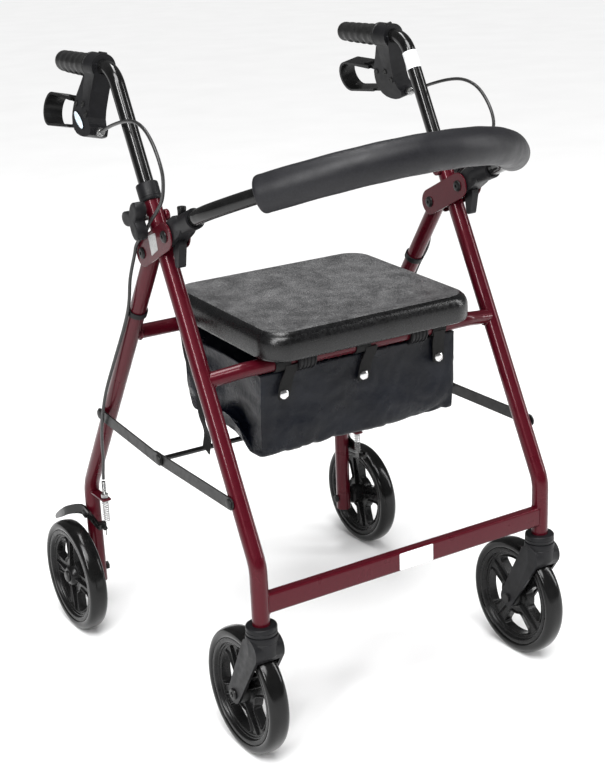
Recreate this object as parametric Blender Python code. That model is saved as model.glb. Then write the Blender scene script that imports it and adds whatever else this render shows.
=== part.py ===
"""Folding rollator walker with four wheels, a seat, a bag, a backrest and two loop brakes.

Metres, +Z up. The casters lead on -Y and +X is the side of the user's left hand. The
dimensions put y = 0 midway between the axles. The last loop moves the whole walker by
SHIFT along y, which puts the origin on the floor below the middle of its bounding box."""

import math

import bmesh
import bpy
from mathutils import Matrix, Vector

# Driving dimensions.
GAP = 0.0003
TRACK = 0.2523
WHEEL_R = 0.09525
TYRE_HALF = 0.0156
AXLE_Y = 0.25225
REAR_WHEEL_X = 0.294
STEM_Y = -0.3017
LEG_R = 0.0127
BORE_R = 0.0115
TUBE_R = 0.0110
LEG_LEAN = 0.52
LEG_TOP = (-0.05475, 0.7831)
REAR_LEAN = 0.668
REAR_REF = (-0.04075, 0.6877)
FOLD = (-0.04825, 0.7042)
REST_PIVOT = (-0.11945, 0.7395)
KNOB = (-0.0683, 0.7570)
LINK_FRONT = (-0.2585, 0.3913)
LINK_MID = (-0.05215, 0.3928)
LINK_REAR = (0.1456, 0.4088)
SEAT_TUBE = (-0.19025, 0.5510)
SEAT_TUBE_END = (-0.17935, 0.5434)
REAR_TUBE = (0.0432, 0.5620)
GRIP_Z = 0.951
BRAKE_TILT = math.radians(13)
LEVER_PIVOT = (0.110, 0.0573)
ARM_PIVOT = (0.25225, 0.2017)
REST_SLOPE = 0.41
REST_END = (-0.163, 0.7643)
SHIFT = 0.0317
SIDES = (("left", 1), ("right", -1))
LEG_UP = Vector((0, LEG_LEAN, 1)).normalized()

for old in list(bpy.data.objects):
    bpy.data.objects.remove(old)


def material(name, colour, metallic, roughness):
    made = bpy.data.materials.new(name)
    made.use_nodes = True
    shader = made.node_tree.nodes["Principled BSDF"]
    shader.inputs["Base Color"].default_value = (*colour, 1)
    shader.inputs["Metallic"].default_value = metallic
    shader.inputs["Roughness"].default_value = roughness
    made.diffuse_color = (*colour, 1)
    return made


COLOURS = {
    "burgundy": ((0.23, 0.012, 0.030), 0.6, 0.25),
    "gloss_black": ((0.012, 0.012, 0.014), 0.2, 0.2),
    "plastic": ((0.022, 0.022, 0.024), 0.0, 0.45),
    "foam": ((0.035, 0.035, 0.037), 0.0, 0.9),
    "nylon": ((0.016, 0.018, 0.028), 0.0, 0.7),
    "rubber": ((0.030, 0.030, 0.032), 0.0, 0.8),
    "zinc": ((0.55, 0.56, 0.58), 1.0, 0.35),
    "link_steel": ((0.07, 0.07, 0.08), 0.8, 0.4),
    "cable": ((0.010, 0.010, 0.010), 0.0, 0.35),
}


def leg_y(z):
    return LEG_TOP[0] - LEG_LEAN * (LEG_TOP[1] - z)


def rear_y(z):
    return REAR_REF[0] + REAR_LEAN * (REAR_REF[1] - z)


def add(name, bm, colour, origin=(0, 0, 0), smooth=True, helper=False):
    """Makes the object of a bmesh, with its origin moved to a joint axis."""
    origin = Vector(origin)
    bmesh.ops.translate(bm, verts=bm.verts, vec=-origin)
    bmesh.ops.recalc_face_normals(bm, faces=bm.faces)
    mesh = bpy.data.meshes.new(name)
    bm.to_mesh(mesh)
    bm.free()
    made = bpy.data.objects.new(name, mesh)
    made.location = origin
    bpy.context.scene.collection.objects.link(made)
    if helper:
        made.hide_render = True
        made.display_type = "WIRE"
        return made
    mesh.materials.append(material(name + "_" + colour, *COLOURS[colour]))
    if smooth:
        mesh.shade_smooth()
        mesh.set_sharp_from_angle(angle=math.radians(35))
    return made


def boolean(target, tool, operation):
    """Adds a live Boolean of a hidden helper to the target."""
    helper = add("cut_" + target.name + str(len(target.modifiers)), tool, "", helper=True)
    step = target.modifiers.new("boolean" + str(len(target.modifiers)), "BOOLEAN")
    step.operation = operation
    step.solver = "EXACT"
    step.object = helper


def cut(target, *tools):
    for tool in tools:
        boolean(target, tool, "DIFFERENCE")


def join(target, *tools):
    for tool in tools:
        boolean(target, tool, "UNION")


def loft(loops, ring=False):
    """A closed skin through loops of equal length. A ring joins the last loop to the first."""
    bm = bmesh.new()
    rows = [[bm.verts.new(p) for p in loop] for loop in loops]
    count = len(rows[0])
    pairs = list(zip(rows, rows[1:]))
    if ring:
        pairs.append((rows[-1], rows[0]))
    for a, b in pairs:
        for i in range(count):
            j = (i + 1) % count
            bm.faces.new((a[i], a[j], b[j], b[i]))
    if not ring:
        bm.faces.new(list(reversed(rows[0])))
        bm.faces.new(rows[-1])
    return bm


def frames(path):
    """A tangent and two side vectors at each point, carried along the path without twist."""
    path = [Vector(p) for p in path]
    found = []
    side = None
    for i, point in enumerate(path):
        before = path[max(i - 1, 0)]
        after = path[min(i + 1, len(path) - 1)]
        tangent = (after - point).normalized() + (point - before).normalized()
        tangent.normalize()
        if side is None:
            side = tangent.orthogonal() if abs(tangent.x) > 0.9 else Vector((1, 0, 0))
        side = (side - tangent * side.dot(tangent)).normalized()
        found.append((point, side, tangent.cross(side)))
    return found


def circle(frame, radius, count, wide=1.0):
    point, u, v = frame
    turn = [2 * math.pi * i / count for i in range(count)]
    return [point + u * radius * wide * math.cos(a) + v * radius * math.sin(a) for a in turn]


def tube(path, radius, count=20, bore=None):
    """A round tube along a path, solid or with an open bore."""
    steps = frames(path)
    outer = [circle(f, radius, count) for f in steps]
    if bore is None:
        return loft(outer)
    inner = [circle(f, bore, count) for f in reversed(steps)]
    return loft(outer + inner, ring=True)


def filleted(points, radius, steps=4):
    """The path with each inner corner replaced by an arc."""
    points = [Vector(p) for p in points]
    path = [points[0]]
    for a, b, c in zip(points, points[1:], points[2:]):
        u, v = (a - b).normalized(), (c - b).normalized()
        half = u.angle(v) / 2
        reach = radius / math.tan(half)
        middle = b + (u + v).normalized() * radius / math.sin(half)
        start, end = b + u * reach - middle, b + v * reach - middle
        turn = start.angle(end)
        for i in range(steps + 1):
            t = i / steps
            weight = math.sin((1 - t) * turn), math.sin(t * turn)
            path.append(middle + (start * weight[0] + end * weight[1]) / math.sin(turn))
    return path + [points[-1]]


def smooth_path(points, steps):
    """A centripetal-free Catmull-Rom curve through the route points."""
    points = [Vector(p) for p in points]
    ends = [points[0] * 2 - points[1]] + points + [points[-1] * 2 - points[-2]]
    path = []
    for a, b, c, d in zip(ends, ends[1:], ends[2:], ends[3:]):
        for i in range(steps):
            t = i / steps
            path.append(
                (b * 2 + (c - a) * t + (a * 2 - b * 5 + c * 4 - d) * t**2
                 + (b * 3 - a - c * 3 + d) * t**3) / 2
            )
    return path + [points[-1]]


def rod(start, end, radius, count=20):
    return tube([start, end], radius, count)


def turned(profile, origin, axis, count=20):
    """A closed profile of (radius, distance) pairs revolved about an axis through origin."""
    axis = Vector(axis).normalized()
    u = axis.orthogonal().normalized()
    if abs(axis.x) > 0.9:
        u = Vector((0, 0, 1))
    v = axis.cross(u)
    loops = []
    for i in range(count):
        a = 2 * math.pi * i / count
        out = u * math.cos(a) + v * math.sin(a)
        loops.append([Vector(origin) + out * r + axis * h for r, h in profile])
    return loft(loops, ring=True)


def spindle(profile, origin, axis, count=20):
    """A solid of stacked discs: (radius, distance) pairs from one end to the other."""
    axis = Vector(axis).normalized()
    u = Vector((0, 0, 1)) if abs(axis.x) > 0.9 else axis.orthogonal().normalized()
    v = axis.cross(u)
    return loft([circle((Vector(origin) + axis * h, u, v), r, count) for r, h in profile])


def hull(*circles, count=12):
    """The outline round circles given as (y, z, radius)."""
    points = []
    for y, z, r in circles:
        turn = [2 * math.pi * i / count for i in range(count)]
        points += [(y + r * math.cos(a), z + r * math.sin(a)) for a in turn]
    points = sorted(set(points))

    def half(order):
        line = []
        for p in order:
            while len(line) > 1:
                (ax, ay), (bx, by) = line[-2], line[-1]
                if (bx - ax) * (p[1] - ay) - (by - ay) * (p[0] - ax) > 1e-12:
                    break
                line.pop()
            line.append(p)
        return line[:-1]

    return half(points) + half(reversed(points))


def plate(outline, x0, x1):
    """A (y, z) outline made solid between two x positions."""
    return loft([[Vector((x, y, z)) for y, z in outline] for x in (x0, x1)])


def box(x0, x1, y0, y1, z0, z1):
    return plate([(y0, z0), (y1, z0), (y1, z1), (y0, z1)], x0, x1)


def rounded(half_x, y0, y1, r, steps=4):
    """A rounded rectangle in plan, as (x, y) pairs."""
    corners = ((1, y1 - r, 0), (-1, y1 - r, 1), (-1, y0 + r, 2), (1, y0 + r, 3))
    points = []
    for side, y, quarter in corners:
        for i in range(steps + 1):
            a = math.pi / 2 * (quarter + i / steps)
            points.append((side * (half_x - r) + r * math.cos(a), y + r * math.sin(a)))
    return points


def across(s, inner, outer):
    """The two x positions of a slab on side s, given outward from the plane of the legs."""
    return sorted((s * (TRACK + inner), s * (TRACK + outer)))


def front_leg_cutter(s, radius):
    low = Vector((s * TRACK, leg_y(0.42), 0.42))
    high = Vector((s * TRACK, leg_y(0.66), 0.66))
    return rod(low, high, radius, 24)


def rear_leg_cutter(s, radius):
    low = Vector((s * TRACK, rear_y(0.45), 0.45))
    high = Vector((s * TRACK, rear_y(0.66), 0.66))
    return rod(low, high, radius, 24)


def cross_hole(s, y, z, radius, inner=-0.03, outer=0.03):
    x0, x1 = across(s, inner, outer)
    return rod((x0, y, z), (x1, y, z), radius, 12)


def bolt(s, y, z, shank, head, reach, thick):
    """A bolt across the plane of the legs, with a domed head at each end."""
    profile = [
        (head * 0.7, -reach - thick), (head, -reach - thick * 0.6), (head, -reach),
        (shank, -reach), (shank, reach), (head, reach), (head, reach + thick * 0.6),
        (head * 0.7, reach + thick),
    ]
    return spindle(profile, (s * TRACK, y, z), (1, 0, 0), 12)


def front_frame(side, s):
    bend = (s * TRACK, STEM_Y, LEG_TOP[1] - (LEG_TOP[0] - STEM_Y) / LEG_LEAN)
    top = (s * TRACK, leg_y(0.785), 0.785)
    path = filleted([(s * TRACK, STEM_Y, 0.2141), bend, top], 0.060)
    leg = add("front_leg_" + side, tube(path, LEG_R, 16, BORE_R), "burgundy")
    x0, x1 = across(s, -0.0185, -0.0121)
    join(leg, rod((x0, *KNOB), (x1, *KNOB), 0.0085, 16))
    cut(leg, cross_hole(s, *KNOB, 0.0039, inner=0.004))
    cut(leg, cross_hole(s, *LINK_FRONT, 0.0034, inner=0.004))

    collar_profile = [
        (0.0131, 0), (0.0160, 0), (0.0160, 0.0245), (0.0148, 0.0260),
        (0.0114, 0.0260), (0.0114, 0.0093), (0.0131, 0.0093),
    ]
    start = Vector(top) - LEG_UP * 0.0090
    add("leg_collar_" + side, turned(collar_profile, start, LEG_UP), "plastic")

    outline = hull((*FOLD, 0.020), (*REST_PIVOT, 0.020))
    for place, inner, outer in (("outer", 0.0130, 0.0155), ("inner", -0.0155, -0.0130)):
        panel = add(f"bracket_{place}_{side}", plate(outline, *across(s, inner, outer)), "burgundy")
        cut(panel, cross_hole(s, *FOLD, 0.0043), cross_hole(s, *REST_PIVOT, 0.0043))
    add("fold_bolt_" + side, bolt(s, *FOLD, 0.0040, 0.0085, 0.0158, 0.0030), "link_steel")
    add("backrest_bolt_" + side, bolt(s, *REST_PIVOT, 0.0040, 0.0085, 0.0158, 0.0030), "link_steel")

    turn = [2 * math.pi * i / 24 for i in range(24)]
    wings = [(KNOB[0] + (0.0205 + 0.0090 * math.cos(3 * a)) * math.cos(a),
              KNOB[1] + (0.0205 + 0.0090 * math.cos(3 * a)) * math.sin(a)) for a in turn]
    knob = add("height_knob_" + side, plate(wings, *across(s, 0.0225, 0.0390)), "plastic",
               (s * (TRACK + 0.02), *KNOB))
    screw = [(0.0034, 0.0113), (0.0034, 0.0215), (0.0085, 0.0215), (0.0085, 0.0235)]
    join(knob, spindle([(r, s * h) for r, h in screw], (s * TRACK, *KNOB), (1, 0, 0), 16))

    socket = [
        (0.0055, 0.2078), (0.0212, 0.2078), (0.0225, 0.2090), (0.0225, 0.2190), (0.0205, 0.2212),
        (0.0130, 0.2212), (0.0130, 0.2138), (0.0112, 0.2138), (0.0112, 0.2450), (0.0055, 0.2450),
    ]
    add("stem_socket_" + side, turned(socket, (s * TRACK, STEM_Y, 0), (0, 0, 1), 18), "plastic")


def wheel(name, centre, inner, outer, phase):
    """A tyre and its four-spoked wheel. The hub runs from inner to outer along x."""
    half = TYRE_HALF
    tread = [
        (0.0805, -0.0138), (0.0865, -half), (0.0920, -half + 0.0030), (WHEEL_R, -half + 0.0105),
        (WHEEL_R, half - 0.0105), (0.0920, half - 0.0030), (0.0865, half), (0.0805, 0.0138),
    ]
    add("tyre_" + name, turned(tread, centre, (1, 0, 0), 32), "rubber", centre)
    rim = [
        (0.0044, inner), (0.0165, inner), (0.0250, -0.0050), (0.0665, -0.0050),
        (0.0740, -0.0130), (0.0801, -0.0135), (0.0801, 0.0135), (0.0740, 0.0130),
        (0.0665, 0.0050), (0.0250, 0.0050), (0.0165, outer), (0.0044, outer),
    ]
    hub = add("wheel_" + name, turned(rim, centre, (1, 0, 0), 24), "plastic", centre)
    for i in range(4):
        middle = math.radians(phase + 90 * i)
        window = []
        for r, spread in ((0.0320, 0.36), (0.0635, 0.52)):
            arc = [middle + spread * (j / 3 - 0.5) * 2 for j in range(4)]
            if r > 0.05:
                arc.reverse()
            window += [(centre[1] + r * math.cos(a), centre[2] + r * math.sin(a)) for a in arc]
        cut(hub, plate(window, centre[0] - 0.009, centre[0] + 0.009))


def caster(side, s):
    centre = (s * TRACK, -AXLE_Y, WHEEL_R)
    wheel("front_" + side, centre, -0.0178, 0.0178, 4.5 - s * 10.5)
    crown = [
        (0.0228, 0.1760), (0.0235, 0.1780), (0.0235, 0.2058), (0.0222, 0.2075), (0.0052, 0.2075),
        (0.0052, 0.2400), (0.0035, 0.2420),
    ]
    fork = add("caster_fork_" + side, spindle(crown, (s * TRACK, STEM_Y, 0), (0, 0, 1), 20),
               "plastic", (s * TRACK, STEM_Y, 0.2000))
    arm = hull((-0.3030, 0.1840, 0.0205), (-AXLE_Y, WHEEL_R, 0.0150), count=16)
    join(fork, plate(arm, *across(s, -0.0232, 0.0232)))
    well = rod((s * TRACK - 0.0184, -AXLE_Y, WHEEL_R), (s * TRACK + 0.0184, -AXLE_Y, WHEEL_R),
               0.0990, 48)
    cut(fork, well, cross_hole(s, -AXLE_Y, WHEEL_R, 0.0043))
    add("caster_axle_" + side, bolt(s, -AXLE_Y, WHEEL_R, 0.0040, 0.0085, 0.0235, 0.0036), "zinc",
        centre)


def rear_frame(side, s):
    bend = (s * TRACK, 0.25125, REAR_REF[1] - (0.25125 - REAR_REF[0]) / REAR_LEAN)
    top = (s * TRACK, rear_y(0.7150), 0.7150)
    path = filleted([(s * TRACK, 0.25125, 0.0740), bend, top], 0.070)
    leg = add("rear_leg_" + side, tube(path, LEG_R, 16, BORE_R), "burgundy")
    join(leg, box(s * TRACK - 0.008, s * TRACK + 0.008, 0.1900, 0.2392, 0.2392, 0.2424))
    cut(leg, cross_hole(s, *FOLD, 0.0043))
    cut(leg, cross_hole(s, AXLE_Y, WHEEL_R, 0.0043))
    cut(leg, cross_hole(s, *LINK_REAR, 0.0034, inner=0.004))
    cut(leg, cross_hole(s, *ARM_PIVOT, 0.0034, inner=0.004))

    centre = (s * REAR_WHEEL_X, AXLE_Y, WHEEL_R)
    inner, outer = sorted((-s * 0.0270, s * 0.0150))
    wheel("rear_" + side, centre, inner, outer, 40 - s * 7)
    axle = [
        (0.0055, 0.2345), (0.0075, 0.2355), (0.0075, 0.2393), (0.0040, 0.2393), (0.0040, 0.3093),
        (0.0100, 0.3093), (0.0100, 0.3115), (0.0070, 0.3135),
    ]
    add("rear_axle_" + side, spindle([(r, s * h) for r, h in axle], (0, AXLE_Y, WHEEL_R), (1, 0, 0),
                                     12), "zinc", centre)

    brake = add("brake_arm_" + side, loft(brake_blade(s)), "gloss_black",
                (s * TRACK, *ARM_PIVOT))
    boss = hull((*ARM_PIVOT, 0.0095))
    join(brake, plate(boss, *across(s, 0.0131, 0.0168)))
    foot = [(0.2090, 0.1990), (0.1985, 0.1990), (0.1985, 0.1910), (0.2090, 0.1910)]
    join(brake, plate(foot, *across(s, 0.0020, 0.0170)))
    for y, z in ((0.2870, 0.1895), (0.2950, 0.1850), (0.3030, 0.1800), (0.3110, 0.1745)):
        notch = [(y - 0.0030, z - 0.0060), (y + 0.0030, z - 0.0085), (y + 0.0012, z + 0.0028)]
        cut(brake, plate(notch, *across(s, 0.0300, 0.0460)))
    stub = [(0.0032, 0.0060), (0.0032, 0.0140), (0.0032, 0.0168), (0.0065, 0.0168), (0.0065, 0.0196)]
    join(brake, spindle([(r, s * h) for r, h in stub], (s * TRACK, *ARM_PIVOT), (1, 0, 0), 12))


def brake_blade(s):
    """Sections of the arm, from the cable clamp past the pivot to the end over the tyre."""
    line = [
        (0.0150, 0.1960, 0.1945, 0.0050), (0.0150, 0.2080, 0.1960, 0.0062),
        (0.0150, 0.2300, 0.2010, 0.0066), (0.0150, 0.2470, 0.2045, 0.0078),
        (0.0185, 0.2570, 0.2075, 0.0084), (0.0290, 0.2680, 0.2070, 0.0084),
        (0.0365, 0.2780, 0.2030, 0.0082), (0.0385, 0.2940, 0.1935, 0.0075),
        (0.0390, 0.3100, 0.1845, 0.0060), (0.0390, 0.3230, 0.1765, 0.0036),
    ]
    loops = []
    for out, y, z, half in line:
        x0, x1 = across(s, out - 0.0019, out + 0.0019)
        loops.append([Vector(p) for p in ((x0, y, z - half), (x1, y, z - half),
                                          (x1, y, z + half), (x0, y, z + half))])
    return loops


def spreader(side, s):
    ahead = (LINK_MID[0] + 0.012, LINK_MID[1])
    bar = hull((*LINK_FRONT, 0.0095), (*ahead, 0.0095))
    front = add("front_link_" + side, plate(bar, *across(s, 0.0130, 0.0155)), "link_steel",
                (s * TRACK, *LINK_FRONT))
    rivet = [(0.0031, 0.0060), (0.0031, 0.0150), (0.0075, 0.0150), (0.0075, 0.0168), (0.0050, 0.0182)]
    join(front, spindle([(r, s * h) for r, h in rivet], (s * TRACK, *LINK_FRONT), (1, 0, 0), 12))
    bar = hull((*LINK_MID, 0.0095), (*LINK_REAR, 0.0095))
    rear = add("rear_link_" + side, plate(bar, *across(s, 0.0158, 0.0183)), "link_steel",
               (s * TRACK, *LINK_REAR))
    rivet = [(0.0031, 0.0060), (0.0031, 0.0131), (0.0080, 0.0131), (0.0080, 0.0196), (0.0055, 0.0210)]
    join(rear, spindle([(r, s * h) for r, h in rivet], (s * TRACK, *LINK_REAR), (1, 0, 0), 12))
    cap = [(0.0070, 0.0180), (0.0070, 0.0198), (0.0050, 0.0212)]
    join(rear, spindle([(r, s * h) for r, h in cap], (s * TRACK, *LINK_MID), (1, 0, 0), 12))


def handle(side, s):
    corner = (s * TRACK, leg_y(GRIP_Z), GRIP_Z)
    low = (s * TRACK, leg_y(0.600), 0.600)
    path = filleted([low, corner, (s * TRACK, 0.1970, GRIP_Z)], 0.042, 6)
    add("handle_tube_" + side, tube(path, TUBE_R, 16, 0.0095), "gloss_black")

    stations = [0.0945, 0.0958, 0.1010, 0.1030, 0.115, 0.124, 0.133, 0.142, 0.151, 0.160,
                0.178, 0.1960, 0.2020, 0.2050]
    outer = []
    for y in stations:
        wave = 0.0008 * math.cos((y - 0.115) / 0.018 * 2 * math.pi)
        size = 0.0165 + wave - 0.0015 * (y - 0.103) / 0.10
        size = {0.0945: 0.0182, 0.0958: 0.0190, 0.1010: 0.0190, 0.2020: 0.0138,
                0.2050: 0.0105}.get(y, size)
        point = Vector((s * TRACK, y, GRIP_Z - 0.0006))
        outer.append(circle((point, Vector((1, 0, 0)), Vector((0, 0, 1))), size, 14, 0.94))
    grip = add("grip_" + side, loft(outer), "foam")
    cut(grip, rod((s * TRACK, 0.080, GRIP_Z), (s * TRACK, 0.1975, GRIP_Z), 0.0113, 20))

    tilt = Matrix.Translation((s * TRACK, 0, GRIP_Z)) @ Matrix.Rotation(-s * BRAKE_TILT, 4, "Y")

    def hung(bm):
        """Turns a shape drawn with x across and z measured from the grip axis."""
        bmesh.ops.transform(bm, matrix=tilt, verts=bm.verts)
        return bm

    body = [
        (0.0600, 0.0040), (0.0600, -0.0060), (0.0620, -0.0190), (0.0648, -0.0370),
        (0.0660, -0.0500), (0.0665, -0.0610), (0.0650, -0.0720), (0.0600, -0.0810),
        (0.0560, -0.0840), (0.0530, -0.0850), (0.0530, -0.0955), (0.0600, -0.0985),
        (0.0720, -0.1008), (0.0840, -0.1005), (0.0960, -0.0985), (0.1060, -0.0940),
        (0.1140, -0.0865), (0.1182, -0.0770), (0.1190, -0.0690), (0.1178, -0.0590),
        (0.1120, -0.0445), (0.1040, -0.0300), (0.0965, -0.0150), (0.0935, 0.0040),
    ]
    housing = add("brake_housing_" + side, hung(plate(body, -0.0142, 0.0142)), "plastic")
    join(housing, hung(rod((0, 0.0620, 0), (0, 0.0940, 0), 0.0188, 20)))
    join(housing, hung(rod((0, 0.0600, -0.0900), (0, 0.0505, -0.0900), 0.0068, 16)))
    cut(housing, rod((s * TRACK, 0.05, GRIP_Z), (s * TRACK, 0.13, GRIP_Z), 0.0113, 20))
    cut(housing, rod((s * TRACK, 0.0942, GRIP_Z), (s * TRACK, 0.13, GRIP_Z), 0.0203, 20))
    cut(housing, hung(box(-0.0110, 0.0110, 0.0955, 0.1400, -0.0960, -0.0425)))
    y, z = LEVER_PIVOT[0], -LEVER_PIVOT[1]
    cut(housing, hung(rod((-0.03, y, z), (0.03, y, z), 0.0034, 16)))

    outline = hull((0.1120, -0.0640, 0.0140), (0.1160, -0.0790, 0.0130), (0.1980, -0.0735, 0.0250),
                   count=20)
    inner = hull((0.1225, -0.0650, 0.0095), (0.1260, -0.0785, 0.0100), (0.1965, -0.0735, 0.0215),
                 count=20)
    pivot = tilt @ Vector((0, y, z))
    lever = add("brake_lever_" + side, hung(plate(outline, -0.0105, 0.0105)), "plastic", pivot)
    strap = [(a, b) for a, b in outline if a > 0.1300]
    strap = sorted(strap, key=lambda p: math.atan2(p[1] + 0.0735, p[0] - 0.1300))
    strap = [(0.1300, -0.0960)] + strap + [(0.1300, -0.0503)]
    join(lever, hung(plate(strap, -0.0145, 0.0145)))
    cut(lever, hung(plate(inner, -0.0200, 0.0200)))
    join(lever, hung(rod((-0.0138, y, z), (0.0138, y, z), 0.0030, 16)))


def cable(side, s):
    """The outer cable from the brake housing to the stop on the rear leg."""
    route = [
        (0.0205, 0.0485, 0.8636), (0.0230, 0.0300, 0.8685), (0.0248, -0.0030, 0.8790),
        (0.0260, -0.0450, 0.8890), (0.0270, -0.0800, 0.8920), (0.0280, -0.1100, 0.8850),
        (0.0285, -0.1330, 0.8680), (0.0285, -0.1490, 0.8450), (0.0270, -0.1520, 0.8240),
        (0.0225, -0.1370, 0.7960), (0.0190, -0.1120, 0.7750), (0.0184, -0.0870, 0.7555),
        (0.0184, -0.0700, 0.7395), (0.0186, -0.0390, 0.7160), (0.0186, -0.0290, 0.6990),
        (0.0186, -0.0080, 0.6600),
        (0.0190, 0.0030, 0.6200), (0.0170, 0.0290, 0.5800), (0.0200, 0.0700, 0.5150),
        (0.0240, 0.1010, 0.4600), (0.0240, 0.1230, 0.4130), (0.0170, 0.1500, 0.3650),
        (0.0060, 0.1770, 0.3200), (0.0000, 0.1960, 0.2880), (0.0000, 0.1980, 0.2760),
    ]
    curve = bpy.data.curves.new("brake_cable_" + side, "CURVE")
    curve.dimensions = "3D"
    curve.bevel_depth = 0.0025
    curve.bevel_resolution = 2
    curve.use_fill_caps = True
    path = smooth_path([(s * (TRACK + o), y, z) for o, y, z in route], 2)
    line = curve.splines.new("POLY")
    line.points.add(len(path) - 1)
    for point, place in zip(line.points, path):
        point.co = (*place, 1)
    curve.materials.append(material("brake_cable_" + side, *COLOURS["cable"]))
    made = bpy.data.objects.new("brake_cable_" + side, curve)
    bpy.context.scene.collection.objects.link(made)


def backrest_holder(side, s):
    back = Vector((0, 1, -REST_SLOPE)).normalized()
    end = Vector((s * TRACK, *REST_END))
    button = end + back * 0.0168
    outline = hull((*REST_PIVOT, 0.0155), (button.y, button.z, 0.0145), count=16)
    prong = hull((-0.1340, 0.7300, 0.0100), (-0.1335, 0.7015, 0.0050), count=12)
    pivot = (s * TRACK, *REST_PIVOT)
    holder = add("backrest_holder_" + side, plate(outline, *across(s, -0.0125, 0.0125)), "plastic",
                 pivot)
    join(holder, rod(end + back * 0.0150, end - back * 0.0230, 0.0145, 20),
         plate(prong, *across(s, -0.0060, 0.0060)))
    cut(holder, rod(end + back * 0.0003, end - back * 0.0400, 0.0113, 16))
    cut(holder, cross_hole(s, *REST_PIVOT, 0.0043))
    cut(holder, rod((button.x, button.y, 0.7500), (button.x, button.y, 0.8000), 0.0064, 20))
    cap = [(0.0060, 0.7545), (0.0060, 0.7820), (0.0046, 0.7840)]
    add("release_button_" + side, spindle(cap, (button.x, button.y, 0), (0, 0, 1), 20), "plastic",
        (button.x, button.y, 0.7700))


def rest_point(x):
    """A point on the bowed centre line of the backrest."""
    y = -0.3860 + 0.1045 * (abs(x) / 0.2083) ** 2.2
    return Vector((x, y, REST_END[1] + REST_SLOPE * (REST_END[0] - y)))


def backrest():
    bow = [rest_point(-0.2083 + 0.4166 * i / 14) for i in range(15)]
    pad = turned_skin(bow)
    add("backrest_pad", pad, "foam", (0, *REST_PIVOT))
    arm = []
    for x, y in ((TRACK, REST_END[0]), (TRACK, -0.1870), (TRACK, -0.1980), (0.2475, -0.2190),
                 (0.2300, -0.2510)):
        arm.append(Vector((x, y, REST_END[1] + REST_SLOPE * (REST_END[0] - y))))
    arm = smooth_path(arm + [bow[-1]], 2)[:-1]
    mirrored = [Vector((-p.x, p.y, p.z)) for p in arm]
    path = arm + list(reversed(bow)) + list(reversed(mirrored))
    add("backrest_tube", tube(path, TUBE_R, 12), "gloss_black", (0, *REST_PIVOT))


def turned_skin(bow):
    """The foam sleeve: rounded ends and a bore for the tube."""
    steps = frames(bow)
    ends = {0: 0.0215, len(bow) - 1: 0.0215}
    outer = [circle(f, ends.get(i, 0.0250), 14) for i, f in enumerate(steps)]
    inner = [circle(f, 0.0114, 14) for f in reversed(steps)]
    return loft(outer + inner, ring=True)


def seat():
    tilt = Matrix.Rotation(math.atan(0.0410), 4, "X")
    front = Vector((0, -0.2409, 0.5645))
    levels = ((0.0035, 0), (0, 0.0035), (0, 0.0300), (0.0030, 0.0370), (0.0110, 0.0410),
              (0.0350, 0.0420))
    loops = []
    for inset, height in levels:
        ring = rounded(0.1805 - inset, inset, 0.3130 - inset, max(0.034 - inset, 0.012))
        loops.append([front + tilt @ Vector((x, y, height)) for x, y in ring])
    pivot = (0, *SEAT_TUBE)
    pad = add("seat_pad", loft(loops), "plastic", pivot)
    for x in (-0.0983, 0.0983):
        clip = hull((*SEAT_TUBE, 0.0165), (SEAT_TUBE[0], 0.5620, 0.0165 / 1.6))
        clip = [p for p in clip if p[1] < 0.5660] + [(-0.1790, 0.5700), (-0.2015, 0.5700)]
        middle = (SEAT_TUBE[0], 0.5600)
        clip.sort(key=lambda p: math.atan2(p[1] - middle[1], p[0] - middle[0]))
        join(pad, plate(clip, x - 0.015, x + 0.015))
    for x in (-0.0983, 0.0983):
        cut(pad, rod((x - 0.03, *SEAT_TUBE), (x + 0.03, *SEAT_TUBE), 0.0113, 24))


def bag():
    outer = [(-0.1925, 0.5335), (-0.1925, 0.4180), (-0.1870, 0.4130), (-0.1000, 0.4160),
             (-0.0050, 0.4260), (0.0180, 0.4380), (0.0290, 0.4620), (0.0444, 0.5502)]
    inner = [(-0.1905, 0.6000), (-0.1905, 0.4186), (-0.1862, 0.4150), (-0.1000, 0.4180),
             (-0.0055, 0.4280), (0.0165, 0.4394), (0.0270, 0.4626), (0.0420, 0.5490), (0.0420, 0.6)]
    pouch = add("bag", plate(outer, -0.1710, 0.1710), "nylon")
    cut(pouch, plate(inner, -0.1690, 0.1690))
    for x in (-0.1370, 0.0, 0.1370):
        for centre in (SEAT_TUBE, REAR_TUBE):
            ring = [(0.0117, -0.0125), (0.0134, -0.0125), (0.0134, 0.0125), (0.0117, 0.0125)]
            join(pouch, turned(ring, (x, *centre), (1, 0, 0), 12))
        join(pouch, box(x - 0.0125, x + 0.0125, -0.1940, -0.1918, 0.4960, 0.5396))


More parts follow.
